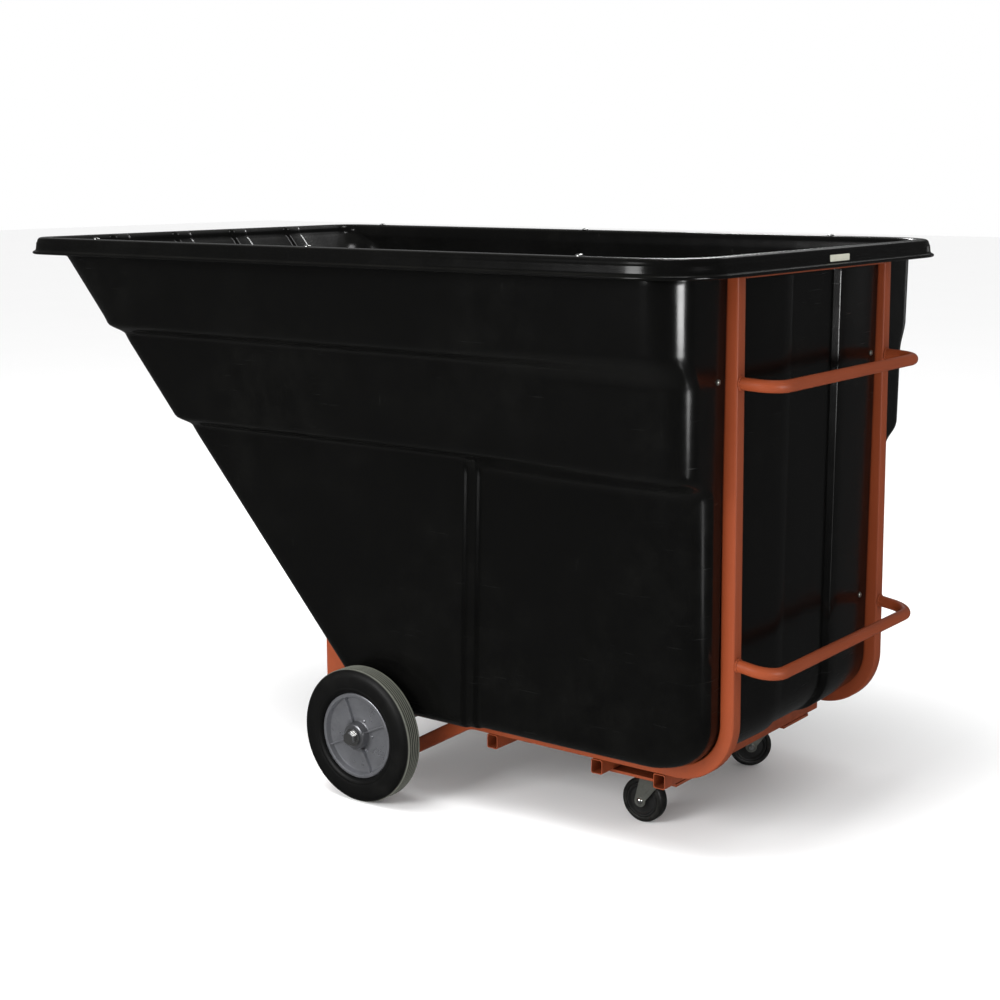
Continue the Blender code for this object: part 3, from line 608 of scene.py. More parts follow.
def nose_rib(y, amount):
    """Shallow ribs pressed inwards down the slope."""
    depth = 0.0
    for low, high in NOSE_RIBS:
        depth += soft_step(y, low + 0.006, 0.013) - soft_step(y, high - 0.006, 0.013)
    return NOSE_RIB_IN * depth * amount


def nose_drop(z, outward, rim):
    """How far the nose side of an outer ring is let down to draw out its flare."""
    if rim:
        return NOSE_DROP * max(0.0, 1 - max(outward, 0.0) / 0.0265)
    return NOSE_DROP * float(smoothstep((z - 1.183) / 0.0225))


def ring(z, inset=0.0, outward=0.0, rim=False, flat=0.0, foot=None, ribs=None, drop=1.0):
    """Closed outline of the hopper at a height, moved in by inset or out by outward."""
    level = z if foot is None else foot
    floor = FLOOR_OUT + inset
    move = outward - inset
    lower = lower_share(level)
    nose_h = half_nose(level) - rounding(floor + FLOOR_EDGE_R - z, FLOOR_EDGE_R) + move
    rear_h = half_rear(level) - rounding(floor + FLOOR_EDGE_R - z, FLOOR_EDGE_R) + move
    slant = math.hypot(1, NOSE_SLOPE)
    nose_move = outward if rim else -inset * slant
    front = (NOSE_LOW[0] + NOSE_SLOPE * (level - NOSE_LOW[1]) - nose_move
             + rounding(floor + FLOOR_NOSE_R - z, FLOOR_NOSE_R))
    draw = rounding(floor + FLOOR_REAR_R - z, FLOOR_REAR_R)
    flare = RIM_FLARE * float(smoothstep((z - 1.190) / 0.024)) if foot is None else RIM_FLARE
    rear = REAR_X + flare + move - draw
    share_mid = soft_step(level, 1.02, 0.07)
    share_low = soft_step(level, 0.797, 0.06)
    rear_r = LOWER_CORNER_R + (MIDDLE_CORNER_R - LOWER_CORNER_R) * share_low
    rear_r += (UPPER_CORNER_R - MIDDLE_CORNER_R) * share_mid
    nose_r = NOSE_CORNER_R[2] + (NOSE_CORNER_R[1] - NOSE_CORNER_R[2]) * share_low
    nose_r += (NOSE_CORNER_R[0] - NOSE_CORNER_R[1]) * share_mid
    nose_r += (RIM_CORNER_R[0] - nose_r) * flat + move
    rear_r += (RIM_CORNER_R[1] - rear_r) * flat + move
    drop_z = nose_drop(z, outward, rim) * drop
    back_h = rear_h - 2 * STEP_IN * lower
    rear_r = min(rear_r, back_h - GROOVE_Y[1] - 0.006) if flat < 1 else rear_r
    # nose face, from the middle to the start of its corner
    points = []
    end = nose_h - nose_r
    rib_rows = [0.0, 0.03]
    for low, high in NOSE_RIBS:
        rib_rows += list(np.linspace(low - 0.002, low + 0.014, 7))
        rib_rows += [(low + high) / 2]
        rib_rows += list(np.linspace(high - 0.014, high + 0.002, 7))
    rib_rows = [y for y in rib_rows if y < end - 0.004]
    while len(rib_rows) < 32:
        rib_rows.append(rib_rows[-1] + (end - rib_rows[-1]) / (33 - len(rib_rows)))
    if ribs is None:
        ribs = (1 - flat) * soft_step(level, 0.42, 0.10)
    points += [(front + nose_rib(y, ribs), -y, drop_z) for y in rib_rows]
    for i in range(15):
        a = math.pi / 2 * i / 14
        points.append((front + nose_r * (1 - math.cos(a)), -(end + nose_r * math.sin(a)),
                       drop_z * float(smoothstep(1 - i / 14))))
    # side, with its two upright steps
    side_from, side_to = front + nose_r, rear - rear_r
    steps = [step - STEP_LEAN * (0.775 - min(level, 0.8)) for step in STEP_AT]
    rows = [side_from + (steps[0] - 0.012 - side_from) * t for t in (0.2, 0.4, 0.6, 0.8, 0.95)]
    for step in steps:
        rows += list(np.linspace(step - 0.0040, step + 0.0040, 9))
    rows += [steps[1] + 0.012 + (side_to - steps[1] - 0.012) * t
             for t in (0.0, 0.12, 0.25, 0.4, 0.55, 0.7, 0.85, 0.96)]
    for x in rows:
        drop = sum(ramp_step(x, step, 0.0059) for step in steps) * STEP_IN * lower
        share = float(smoothstep((x - AXLE_X - 0.15) / 0.55))
        points.append((x, -(nose_h + (rear_h - nose_h) * share - drop), 0.0))
    for i in range(19):
        a = math.pi / 2 * i / 18
        points.append((side_to + rear_r * math.sin(a),
                       -(back_h - rear_r * (1 - math.cos(a))), 0.0))
    # rear wall
    start = back_h - rear_r
    rows = list(np.linspace(start - 0.0006, GROOVE_Y[1] + 0.0038, 4))
    rows += list(np.linspace(GROOVE_Y[1] + 0.003, GROOVE_Y[1] - 0.001, 4))
    rows += list(np.linspace(GROOVE_Y[0] + 0.003, CROWN_END_Y - 0.002, 8))
    rows += [0.29, 0.26, 0.22, 0.18, 0.145]
    rows += list(np.linspace(CHANNEL_Y[1] + 0.0030, CHANNEL_Y[1] - 0.0090, 13)) + [0.0940, 0.05, 0.0]
    for y in rows:
        points.append((rear + rear_profile(y, z, flat), -y, 0.0))
    mirrored = [(x, -y, down) for x, y, down in reversed(points[1:-1])]
    return [(x, y, z - down) for x, y, down in points + mirrored]


def hopper_heights(inset):
    floor = FLOOR_OUT + inset
    top = [floor + FLOOR_EDGE_R * (1 - math.cos(math.radians(a))) for a in (0, 12, 24, 36, 48, 60, 75)]
    top += [floor + v for v in (0.030, 0.038, 0.047, 0.060, 0.075, 0.090, 0.1031)]
    top += list(np.linspace(0.34, 0.755, 9))
    top += list(np.linspace(0.764, 0.832, 15))
    top += list(np.linspace(0.86, 0.975, 4))
    top += list(np.linspace(0.983, 1.060, 16))
    top += [1.09, 1.12, 1.14, 1.155, 1.17, 1.18, 1.188]
    return top


RIM_UNDER = [
    (0.0000, 1.2055), (0.0002, 1.2110), (0.0010, 1.2170), (0.0028, 1.2225), (0.0060, 1.2265),
    (0.0100, 1.2282), (0.0180, 1.2286), (0.0250, 1.2280), (0.0290, 1.2255), (0.0318, 1.2210),
    (0.0330, 1.2140), (0.0340, 1.2040), (0.0352, 1.1990), (0.0380, 1.1962), (0.0430, 1.1948),
    (0.0460, 1.1946), (0.0482, 1.1958), (0.0490, 1.1978), (0.0484, 1.2000), (0.0462, 1.2016),
    (0.0438, 1.2026), (0.0418, 1.2044), (0.0408, 1.2072), (0.0400, 1.2130), (0.0394, 1.2188),
    (0.0390, 1.2208), (0.0378, 1.2222), (0.0370, 1.2240), (0.0364, 1.2266), (0.0350, 1.2298),
    (0.0326, 1.2322), (0.0292, 1.2336), (0.0250, 1.2340), (0.0190, 1.2340), (0.0125, 1.2340),
    (0.0078, 1.2335), (0.0035, 1.2318), (0.0002, 1.2288), (-0.0024, 1.2244), (-0.0040, 1.2188),
    (-0.0050, 1.2130),
]


def build_hopper():
    rings = [ring(z) for z in hopper_heights(0.0)]
    for step, z in enumerate((1.1925, 1.1965, 1.2005, 1.2035)):
        rings.append(ring(z, flat=(step + 1) / 5))
    crest = max(range(len(RIM_UNDER)), key=lambda i: RIM_UNDER[i][1])
    for i, (u, z) in enumerate(RIM_UNDER):
        ribs = float(smoothstep((0.0190 - u) / 0.022)) if i > crest else 0.0
        rings.append(ring(z, outward=u, rim=True, flat=1.0, foot=RIM_FOOT_Z, ribs=ribs,
                          drop=0.0 if i > crest else 1.0))
    inner = [ring(z, inset=WALL, flat=f, ribs=1.0, drop=0.0)
             for z, f in ((1.2060, 0.82), (1.2000, 0.62), (1.1940, 0.42), (1.1880, 0.24))]
    inner += [ring(z, inset=WALL) for z in reversed(hopper_heights(WALL)[:-1])]
    bm = bmesh.new()
    lofted(bm, rings + inner)
    piece("hopper_body", bm, "hopper", "truck", ["hopper"], 46)


# ---------------------------------------------------------------- frame

TUBE_CORNER, TUBE_WALL = 0.0042, 0.0025
CROSS_CORNER, CROSS_WALL = 0.0036, 0.0028
RAIL_Z = 0.1740
REAR_BEND_R = 0.119
STRUT_ANGLE = math.radians(30)
STRUT_BEND_R = 0.080
RAIL_FRONT_X = AXLE_X + 0.180
STRUT_LENGTH = 0.192


def side_path():
    """Centreline of a side frame: upright, rear bend, rail, front bend, strut."""
    lean = math.atan(UPRIGHT_LEAN)
    foot = Vector((UPRIGHT_TOP[0] + (UPRIGHT_TOP[1] - RAIL_Z) * UPRIGHT_LEAN, RAIL_Z))
    down = Vector((math.sin(lean), -math.cos(lean)))
    turn = math.pi / 2 + lean
    tangent = REAR_BEND_R * math.tan(turn / 2)
    start = foot - down * tangent
    centre = Vector((foot.x - tangent, RAIL_Z + REAR_BEND_R))
    path = [Vector(UPRIGHT_TOP)] + [Vector(UPRIGHT_TOP).lerp(start, t) for t in (0.3, 0.6, 0.9)]
    steps = 26
    for i in range(steps + 1):
        a = -lean - turn * i / steps
        path.append(centre + REAR_BEND_R * Vector((math.cos(a), math.sin(a))))
    corner = Vector((RAIL_FRONT_X, RAIL_Z))
    short = STRUT_BEND_R * math.tan(STRUT_ANGLE / 2)
    centre = Vector((RAIL_FRONT_X + short, RAIL_Z - STRUT_BEND_R))
    path += [path[-1].lerp(corner, t) for t in (0.3, 0.6)]
    for i in range(11):
        a = math.pi / 2 + STRUT_ANGLE * i / 10
        path.append(centre + STRUT_BEND_R * Vector((math.cos(a), math.sin(a))))
    away = Vector((-math.cos(STRUT_ANGLE), -math.sin(STRUT_ANGLE)))
    path.append(path[-1] + away * STRUT_LENGTH)
    return path


def hollow_ends(bm, path, up, width, height, corner, wall, depth):
    """A tube with open mouths: the inner skin turns in at each end."""
    outer = rounded_rectangle(width, height, corner)
    inner = rounded_rectangle(width - 2 * wall, height - 2 * wall, max(0.0006, corner - wall))
    path = [Vector(p) for p in path]
    head = (path[0] - path[1]).normalized()
    tail = (path[-1] - path[-2]).normalized()
    loops = swept(bm, path, outer, up, caps=False)
    count = len(outer)
    for mouth, into in ((loops[0], -head), (loops[-1], -tail)):
        mid = sum((v.co for v in mouth), Vector()) / count
        lips = [v.co - mid for v in mouth]
        rows = [mouth]
        near = []
        for offset, (a, b), (c, d) in zip(lips, outer, inner):
            scale = math.hypot(c, d) / math.hypot(a, b)
            near.append(bm.verts.new(mid + offset * scale))
        rows.append(near)
        rows.append([bm.verts.new(v.co + into * depth) for v in near])
        for one, two in zip(rows, rows[1:]):
            for i in range(count):
                j = (i + 1) % count
                bm.faces.new((one[i], one[j], two[j], two[i]))
        bm.faces.new(rows[-1])


def build_side_frames():
    for side, sign in SIDES.items():
        path = [(p.x, sign * TUBE_Y, p.y) for p in side_path()]
        bm = bmesh.new()
        hollow_ends(bm, path, (1, 0, 0), TUBE, TUBE, TUBE_CORNER, TUBE_WALL, 0.06)
        piece("frame_tube_" + side, bm, "paint", "truck", ["side_frame_" + side], 50)


def build_cross_tubes():
    for place in ("front", "middle", "rear"):
        node = "cross_tube_" + place
        low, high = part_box(node)
        centre = (low + high) / 2
        path = [(centre.x, y, centre.z) for y in np.linspace(low.y, high.y, 5)]
        bm = bmesh.new()
        hollow_ends(bm, path, (0, 0, 1), high.x - low.x, high.z - low.z, CROSS_CORNER, CROSS_WALL, 0.10)
        piece(node + "_tube", bm, "paint", "truck", [node], 50)


HANDLE_R = 0.0127
HANDLE_BEND = 0.048
HANDLE_REACH = 0.0793
WELD_THICK = 0.0021
HANDLES = {"upper_handle": (0.985, 0.004), "lower_handle": (0.418, 0.012)}


def upright_back(height):
    """X of the uprights' rear face at a height."""
    return UPRIGHT_TOP[0] + (UPRIGHT_TOP[1] - height) * UPRIGHT_LEAN + TUBE / 2


def build_handles():
    for name, (height, droop) in HANDLES.items():
        rear = upright_back(height)
        flat = []
        for sign in (-1, 1):
            leg = [(0.0006, sign * TUBE_Y), (0.012, sign * TUBE_Y)]
            for i in range(19):
                a = math.pi / 2 * i / 18
                leg.append((HANDLE_REACH - HANDLE_BEND * (1 - math.sin(a)),
                            sign * (TUBE_Y - HANDLE_BEND * (1 - math.cos(a)))))
            flat += leg if sign < 0 else leg[::-1]
        path = [(rear + x, y, height - droop * x / HANDLE_REACH) for x, y in flat]
        bm = bmesh.new()
        circle = [(HANDLE_R * math.cos(math.tau * i / 28), HANDLE_R * math.sin(math.tau * i / 28))
                  for i in range(28)]
        swept(bm, path, circle, (0, 0, 1))
        piece(name + "_bar", bm, "paint", "truck", [name], 60)


def bead(name, centre, along, radius, thick, seed):
    """A weld bead: a closed ring with small overlapping ripples."""
    place = facing(centre, along)
    steps = 84
    rng = np.random.default_rng(seed)
    wobble = rng.uniform(-0.12, 0.12, steps)
    bm = bmesh.new()
    rings = []
    for i in range(steps):
        a = math.tau * i / steps
        ripple = 1 + 0.22 * math.sin(a * 17 + seed) + wobble[i]
        ring_points = []
        for j in range(8):
            b = math.tau * j / 8
            r = radius + thick * ripple * math.cos(b)
            ring_points.append(place @ Vector((r * math.cos(a), r * math.sin(a),
                                               thick * ripple * math.sin(b))))
        rings.append(ring_points)
    lofted(bm, rings, closed=True)
    piece(name, bm, "paint", "truck", smooth=80)


def build_welds():
    for name, (height, _) in HANDLES.items():
        for side, sign in SIDES.items():
            foot = (upright_back(height) + 0.0012, sign * TUBE_Y, height)
            bead("weld_%s_%s" % (name, side), foot, (1, 0, 0), HANDLE_R + 0.0006, WELD_THICK,
                 3 + sign + len(name))


def build_plates():
    """Axle plates. Their rear edge is set in from the CAD's, so that the wheel hides it."""
    for side in SIDES:
        node = "axle_plate_" + side
        low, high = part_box(node)
        crest = AXLE_X - 0.068
        outline = [(low.x, 0.158), (AXLE_X - 0.020, low.z), (AXLE_X + 0.016, 0.074),
                   (AXLE_X + 0.027, 0.128), (AXLE_X + 0.006, 0.182),
                   (crest, high.z + (crest - low.x) / NOSE_SLOPE), (low.x, high.z)]
        place = Matrix(((1, 0, 0, 0), (0, 0, -1, middle(node).y), (0, 1, 0, 0), (0, 0, 0, 1)))
        bm = bmesh.new()
        plate(bm, outline, high.y - low.y, place)
        obj = from_bmesh("nose_" + node, bm)
        soften(obj, 0.0008, 2)
        finish_mesh(obj, LOOK["paint"], "truck", [node], 40)
    for node in ("rear_top_bar", "cross_tube_nose"):
        recolour(node, "paint")


# ---------------------------------------------------------------- bolts

RIM_BOLT_R, RIM_NUT_ACROSS, RIM_NUT_H = 0.0039, 0.0128, 0.0060
REAR_HEAD_R, REAR_HEAD_H = 0.0065, 0.0038
REAR_BOLT_R, REAR_BOLT_LENGTH = 0.0029, 0.0095


def hexagon(bm, across, height, place, chamfer=0.0008):
    """A hexagon head or nut, its corners turned off at the top."""
    rows = []
    for z, grow in ((0, 1.0), (height - chamfer * 1.2, 1.0), (height, 0.0)):
        row = []
        for i in range(36):
            a = math.tau * i / 36
            local = (a + math.pi / 6) % (math.pi / 3) - math.pi / 6
            edge = across / 2 / math.cos(local)
            edge = edge if grow else min(edge - chamfer, across / 2 - 0.0002)
            row.append(place @ Vector((edge * math.cos(a), edge * math.sin(a), z)))
        rows.append(row)
    lofted(bm, rows)


def dome(bm, radius, height, place, steps=28):
    profile = [(0, height)]
    for a in (12, 26, 42, 58, 74, 88):
        profile.append((radius * math.sin(math.radians(a)), height * math.cos(math.radians(a))
                        + 0.0002))
    profile += [(radius, 0.0), (0, 0.0)]
    solid_turn(bm, profile, steps, place)


def build_rim_bolts():
    for side in SIDES:
        for i in (1, 2, 3):
            node = "rim_bolt_%s_%d" % (side, i)
            low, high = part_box(node)
            mid = (low + high) / 2
            bm = bmesh.new()
            dome(bm, (high.x - low.x) / 2, high.z - RIM_Z - 0.0004,
                 Matrix.Translation((mid.x, mid.y, RIM_Z + 0.0001)))
            solid_turn(bm, [(0, RIM_Z - 0.0001), (RIM_BOLT_R, RIM_Z - 0.0001),
                            (RIM_BOLT_R, low.z + 0.0008), (RIM_BOLT_R - 0.0007, low.z), (0, low.z)], 20,
                       Matrix.Translation((mid.x, mid.y, 0)))
            hexagon(bm, RIM_NUT_ACROSS, RIM_NUT_H,
                    Matrix.Translation((mid.x, mid.y, low.z + 0.0035)))
            piece(node + "_dome", bm, "plated", "truck", [node], 40)
        recolour("rim_bar_" + side, "plated")


def build_rear_bolts():
    for node in ("rear_bolt_upper_right", "rear_bolt_upper_left", "rear_bolt_lower_left"):
        low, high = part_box(node)
        mid = (low + high) / 2
        face = high.x - 0.0040
        bm = bmesh.new()
        place = facing((face, mid.y, mid.z), (1, 0, 0))
        dome(bm, REAR_HEAD_R, REAR_HEAD_H, place, 24)
        solid_turn(bm, [(0, 0), (REAR_BOLT_R, 0), (REAR_BOLT_R, -REAR_BOLT_LENGTH),
                        (0, -REAR_BOLT_LENGTH)], 16, place)
        piece(node + "_dome", bm, "zinc", "truck", [node], 40)


def build_label():
    low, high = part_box("rim_label")
    mid = (low + high) / 2
    bm = bmesh.new()
    outline = rounded_rectangle(high.y - low.y, high.z - low.z, 0.0024, 5)
    plate(bm, outline, high.x - low.x,
          Matrix.Translation(mid) @ Matrix(((0, 0, 1, 0), (1, 0, 0, 0), (0, 1, 0, 0),
                                            (0, 0, 0, 1))))
    obj = from_bmesh("rim_label_plate", bm)
    soften(obj, 0.0003, 2)
    finish_mesh(obj, LOOK["label"], "truck", ["rim_label"], 40)


# ---------------------------------------------------------------- main wheels

RIM_R = 0.0975
TREAD_GROOVES = 5


def tyre_profile(half):
    """Outer skin of the tyre from its outer bead round to the inner bead."""
    outer = [(RIM_R + 0.0008, half - 0.0085), (0.1000, half - 0.0046), (0.1030, half - 0.0020),
             (0.1065, half - 0.0006), (0.1100, half - 0.0002), (0.1112, half - 0.0006),
             (0.1124, half - 0.0002), (0.1180, half), (0.1280, half), (0.1340, half - 0.0003),
             (0.1392, half - 0.0012), (0.1432, half - 0.0028), (0.1465, half - 0.0052),
             (0.1490, half - 0.0072), (0.1505, half - 0.0088), (0.1516, half - 0.0099)]
    edge = half - 0.0108
    tread = [(WHEEL_R - 0.0001, edge)]
    pitch = 2 * edge / (TREAD_GROOVES + 1)
    for i in range(TREAD_GROOVES):
        at = edge - pitch * (i + 1)
        tread += [(WHEEL_R, at + 0.0023), (WHEEL_R - 0.0006, at + 0.0019),
                  (WHEEL_R - 0.0030, at + 0.0016), (WHEEL_R - 0.0030, at - 0.0016),
                  (WHEEL_R - 0.0006, at - 0.0019), (WHEEL_R, at - 0.0023)]
    tread.append((WHEEL_R - 0.0001, -edge))
    return outer + tread + [(r, -z) for r, z in reversed(outer)]


def disc_profile(half):
    """Cast disc: outer lip, dished web and boss, as a closed outline."""
    return [
        (0.0150, half + 0.0015), (0.0265, half + 0.0015), (0.0285, half + 0.0002),
        (0.0298, half - 0.0030), (0.0305, half - 0.0130), (0.0322, half - 0.0162),
        (0.0360, half - 0.0178), (0.0600, half - 0.0186), (0.0820, half - 0.0190),
        (0.0850, half - 0.0180), (0.0868, half - 0.0150), (0.0882, half - 0.0098),
        (0.0894, half - 0.0080), (0.0915, half - 0.0072), (0.0950, half - 0.0074),
        (0.0968, half - 0.0082), (RIM_R, half - 0.0098), (RIM_R, 0.0098 - half),
        (0.0950, 0.0080 - half), (0.0900, 0.0090 - half), (0.0880, 0.0120 - half),
        (0.0850, half - 0.0240), (0.0340, half - 0.0225), (0.0308, half - 0.0260),
        (0.0300, 0.0050 - half), (0.0280, 0.0040 - half), (0.0150, 0.0040 - half),
    ]


RIB_TURN = math.radians(24.5)
HUB_BOLT_TURN = math.radians(4)
HUB_BOLT_CIRCLE, HUB_BOLT_R, HUB_BOLT_H = 0.0385, 0.0042, 0.0034
RIB_TOPS = ((0.0285, 0.0078), (0.050, 0.0110), (0.072, 0.0118), (0.0872, 0.0102))   # radius, depth
RIB_ROOT = 0.0205
AXLE_NUT_ACROSS = 0.0258


def build_main_wheels():
    for side, sign in SIDES.items():
        body = "main_wheel_" + side
        centre = Vector((AXLE_X, sign * WHEEL_Y, WHEEL_R))
        place = facing(centre, (0, sign, 0))
        half = WHEEL_HALF
        bm = bmesh.new()
        lathe(bm, tyre_profile(half), 128, place)
        piece("tyre_tread_" + side, bm, "tyre_" + side, body, ["tyre_" + side], 28)

        bm = bmesh.new()
        lathe(bm, disc_profile(half), 96, place)
        for k in range(4):
            # ribs run across the dish from the boss to the lip
            a = RIB_TURN + math.pi / 2 * k
            out = Vector((math.cos(a), 0, math.sin(a)))
            across = Vector((-math.sin(a), 0, math.cos(a)))
            rise = Vector((0, sign, 0))
            rows = []
            for r, depth in RIB_TOPS:
                top, base = half - depth, half - RIB_ROOT
                row = []
                for w, h in ((-0.0022, base), (-0.0016, top - 0.0005), (-0.0010, top),
                             (0.0010, top), (0.0016, top - 0.0005), (0.0022, base)):
                    row.append(centre + out * r + across * w + rise * h)
                rows.append(row)
            lofted(bm, rows)
        for k in range(6):
            a = HUB_BOLT_TURN + math.tau * k / 6
            spot = centre + Vector((HUB_BOLT_CIRCLE * math.cos(a), sign * (half - 0.0184),
                                    HUB_BOLT_CIRCLE * math.sin(a)))
            dome(bm, HUB_BOLT_R, HUB_BOLT_H, facing(spot, (0, sign, 0)), 20)
        piece("wheel_casting_" + side, bm, "wheel", body, ["wheel_disc_" + side], 32)

        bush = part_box("axle_bush_" + side)
        reach = abs(bush[1].y if sign > 0 else bush[0].y) - WHEEL_Y
        bm = bmesh.new()
        lathe(bm, [(AXLE_R + 0.0003, reach - 0.0003), (0.0128, reach), (0.0140, reach - 0.0012),
                   (0.0142, 0.0035 - half), (AXLE_R + 0.0003, 0.0035 - half)], 40, place)
        piece("axle_sleeve_" + side, bm, "nylon", body, ["axle_bush_" + side], 40)
        build_axle_end(side, place)


def build_axle_end(side, place):
    """Washer and hexagon nut at an end of the axle."""
    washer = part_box("axle_washer_" + side)
    thick = washer[1].y - washer[0].y
    inner = min(abs(washer[0].y), abs(washer[1].y)) - WHEEL_Y
    bm = bmesh.new()
    lathe(bm, [(AXLE_R + 0.0004, inner), (AXLE_R + 0.0004, inner + thick),
               (0.0192, inner + thick), (0.0200, inner + thick - 0.0008), (0.0200, inner)],
          48, place)
    piece("axle_flat_washer_" + side, bm, "plated", "truck", ["axle_washer_" + side], 40)

    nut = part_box("axle_nut_" + side)
    height = nut[1].y - nut[0].y
    start = min(abs(nut[0].y), abs(nut[1].y)) - WHEEL_Y
    bm = bmesh.new()
    hexagon(bm, AXLE_NUT_ACROSS, height, place @ Matrix.Translation((0, 0, start)), 0.0012)
    piece("axle_hex_nut_" + side, bm, "plated", "truck", ["axle_nut_" + side], 30)


def build_axle():
    bm = bmesh.new()
    r = AXLE_R - 0.0001
    solid_turn(bm, [(0, AXLE_END), (r - 0.0022, AXLE_END), (r, AXLE_END - 0.0020),
                    (r, 0.0), (r, 0.0020 - AXLE_END), (r - 0.0022, -AXLE_END),
                    (0, -AXLE_END)], 40, facing((AXLE_X, 0, WHEEL_R), (0, 1, 0)))
    piece("axle_shaft", bm, "plated", "truck", ["axle"], 40)


# ---------------------------------------------------------------- casters

JOINTS = {j["name"]: j for j in frame["joints"]}
CASTER_R = (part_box("caster_tyre_right")[1].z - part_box("caster_tyre_right")[0].z) / 2
CASTER_HALF = (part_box("caster_tyre_right")[1].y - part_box("caster_tyre_right")[0].y) / 2
CASTER_TRAIL = 0.030
LEG_CLEAR = 0.0030                # between the wheel and a fork leg
FORK_TOP = 0.1072
FORK_T = 0.003
FORK_LOBE_R = 0.0135
FORK_FRONT = 0.026
PLATE_LOW = 0.1148                 # underside of a caster's top plate
CASTER_HEAD_R, CASTER_HEAD_H = 0.0074, 0.0049
CASTER_NUT_ACROSS, CASTER_NUT_H = 0.0134, 0.0063
PLATE_BOLT_ACROSS, PLATE_BOLT_HEAD, PLATE_BOLT_R = 0.0119, 0.0038, 0.0037


def fork_leg_outline():
    """A leg in its own plane: x from the pivot, z from the floor."""
    top = FORK_TOP - 0.0016
    lobe = arc((-CASTER_TRAIL, CASTER_R), FORK_LOBE_R, 170, 370, 20)
    return [(FORK_FRONT, top), (-CASTER_TRAIL, top)] + lobe


def build_caster(side, sign):
    swivel = JOINTS["caster_%s_swivel" % side]
    spin = JOINTS["caster_%s_spin" % side]
    pivot = Vector((swivel["pos_m"][0], swivel["pos_m"][1], 0))
    hub = Vector(spin["pos_m"])
    across = Vector(spin["axis"])
    back = (Vector((hub.x, hub.y, 0)) - pivot).normalized()
    turned = Matrix.Identity(4)
    for row in range(3):
        turned[row][0] = -back[row]
        turned[row][1] = across[row]
        turned[row][2] = 1.0 if row == 2 else 0.0
        turned[row][3] = pivot[row]
    body = "caster_swivel_" + side
    leg_at = CASTER_HALF + LEG_CLEAR + FORK_T / 2
    bm = bmesh.new()
    outline = fork_leg_outline()
    for way in (-1, 1):
        spot = turned @ Matrix.Translation((0, way * leg_at, 0)) @ Matrix.Rotation(math.pi / 2, 4, "X")
        plate(bm, outline, FORK_T, spot)
        # pressed rib down the middle of the leg
        rows = []
        for t in np.linspace(0.08, 0.78, 9):
            x = 0.004 + (-0.030 - 0.004) * t
            z = (FORK_TOP - 0.006) + (CASTER_R - FORK_TOP + 0.006) * t
            swell = math.sin(math.pi * (t - 0.08) / 0.70)
            wide = 0.0022 + 0.0030 * swell
            high = 0.0004 + 0.0011 * swell
            rows.append([turned @ Vector((x + wide * math.cos(b), way * (leg_at + FORK_T / 2 - 0.0006
                                          + high * math.sin(b)), z + 0.3 * wide * math.cos(b)))
                         for b in np.linspace(0, math.tau, 12, endpoint=False)])
        lofted(bm, rows)
    edge = leg_at + FORK_T / 2
    crown = [(FORK_FRONT, edge), (FORK_FRONT, -edge), (-CASTER_TRAIL, -edge), (-CASTER_TRAIL, edge)]
    plate(bm, crown, FORK_T, turned @ Matrix.Translation((0, 0, FORK_TOP - FORK_T / 2)))
    obj = from_bmesh("caster_horn_" + side, bm)
    soften(obj, 0.0009, 3, 50)
    finish_mesh(obj, LOOK["zinc"], body, ["caster_fork_" + side], 35)

    place = facing(hub, across)
    wheel = "caster_wheel_" + side
    h = CASTER_HALF
    bm = bmesh.new()
    lathe(bm, both_sides([(0.0376, h - 0.0022), (0.0384, h - 0.0008), (0.0400, h), (0.0444, h),
                          (0.0468, h - 0.0010), (0.0486, h - 0.0030), (0.0496, h - 0.0058),
                          (CASTER_R - 0.0001, h - 0.0090)]), 72, place)
    piece("caster_tread_" + side, bm, "caster", wheel, ["caster_tyre_" + side], 30)
    bm = bmesh.new()
    lathe(bm, both_sides([(0.0044, h + 0.0014), (0.0098, h + 0.0014), (0.0106, h + 0.0006),
                          (0.0118, h - 0.0040), (0.0150, h - 0.0062), (0.0300, h - 0.0066),
                          (0.0330, h - 0.0040), (0.0338, h - 0.0018), (0.0358, h - 0.0014),
                          (0.0371, h - 0.0022)]), 60, place)
    piece("caster_core_" + side, bm, "hub", wheel, ["caster_hub_" + side], 35)

    # axle bolt: its head is on the outer side of the truck
    away = across * (sign if across.y > 0 else -sign)
    reach = h + LEG_CLEAR + FORK_T + 0.0003
    outer = facing(hub + away * reach, away)
    inner = facing(hub - away * reach, -away)
    bm = bmesh.new()
    dome(bm, CASTER_HEAD_R, CASTER_HEAD_H, outer, 30)
    solid_turn(bm, [(0, 0), (0.0039, 0), (0.0039, -2 * reach - 0.0072), (0.0032, -2 * reach - 0.0079),
                    (0, -2 * reach - 0.0079)], 20, outer)
    piece("caster_pin_" + side, bm, "plated", body, ["caster_axle_" + side], 40)
    bm = bmesh.new()
    hexagon(bm, CASTER_NUT_ACROSS, CASTER_NUT_H, inner @ Matrix.Translation((0, 0, 0.0001)))
    piece("caster_lock_nut_" + side, bm, "plated", body, ["caster_axle_nut_" + side], 30)
    build_caster_top(side)


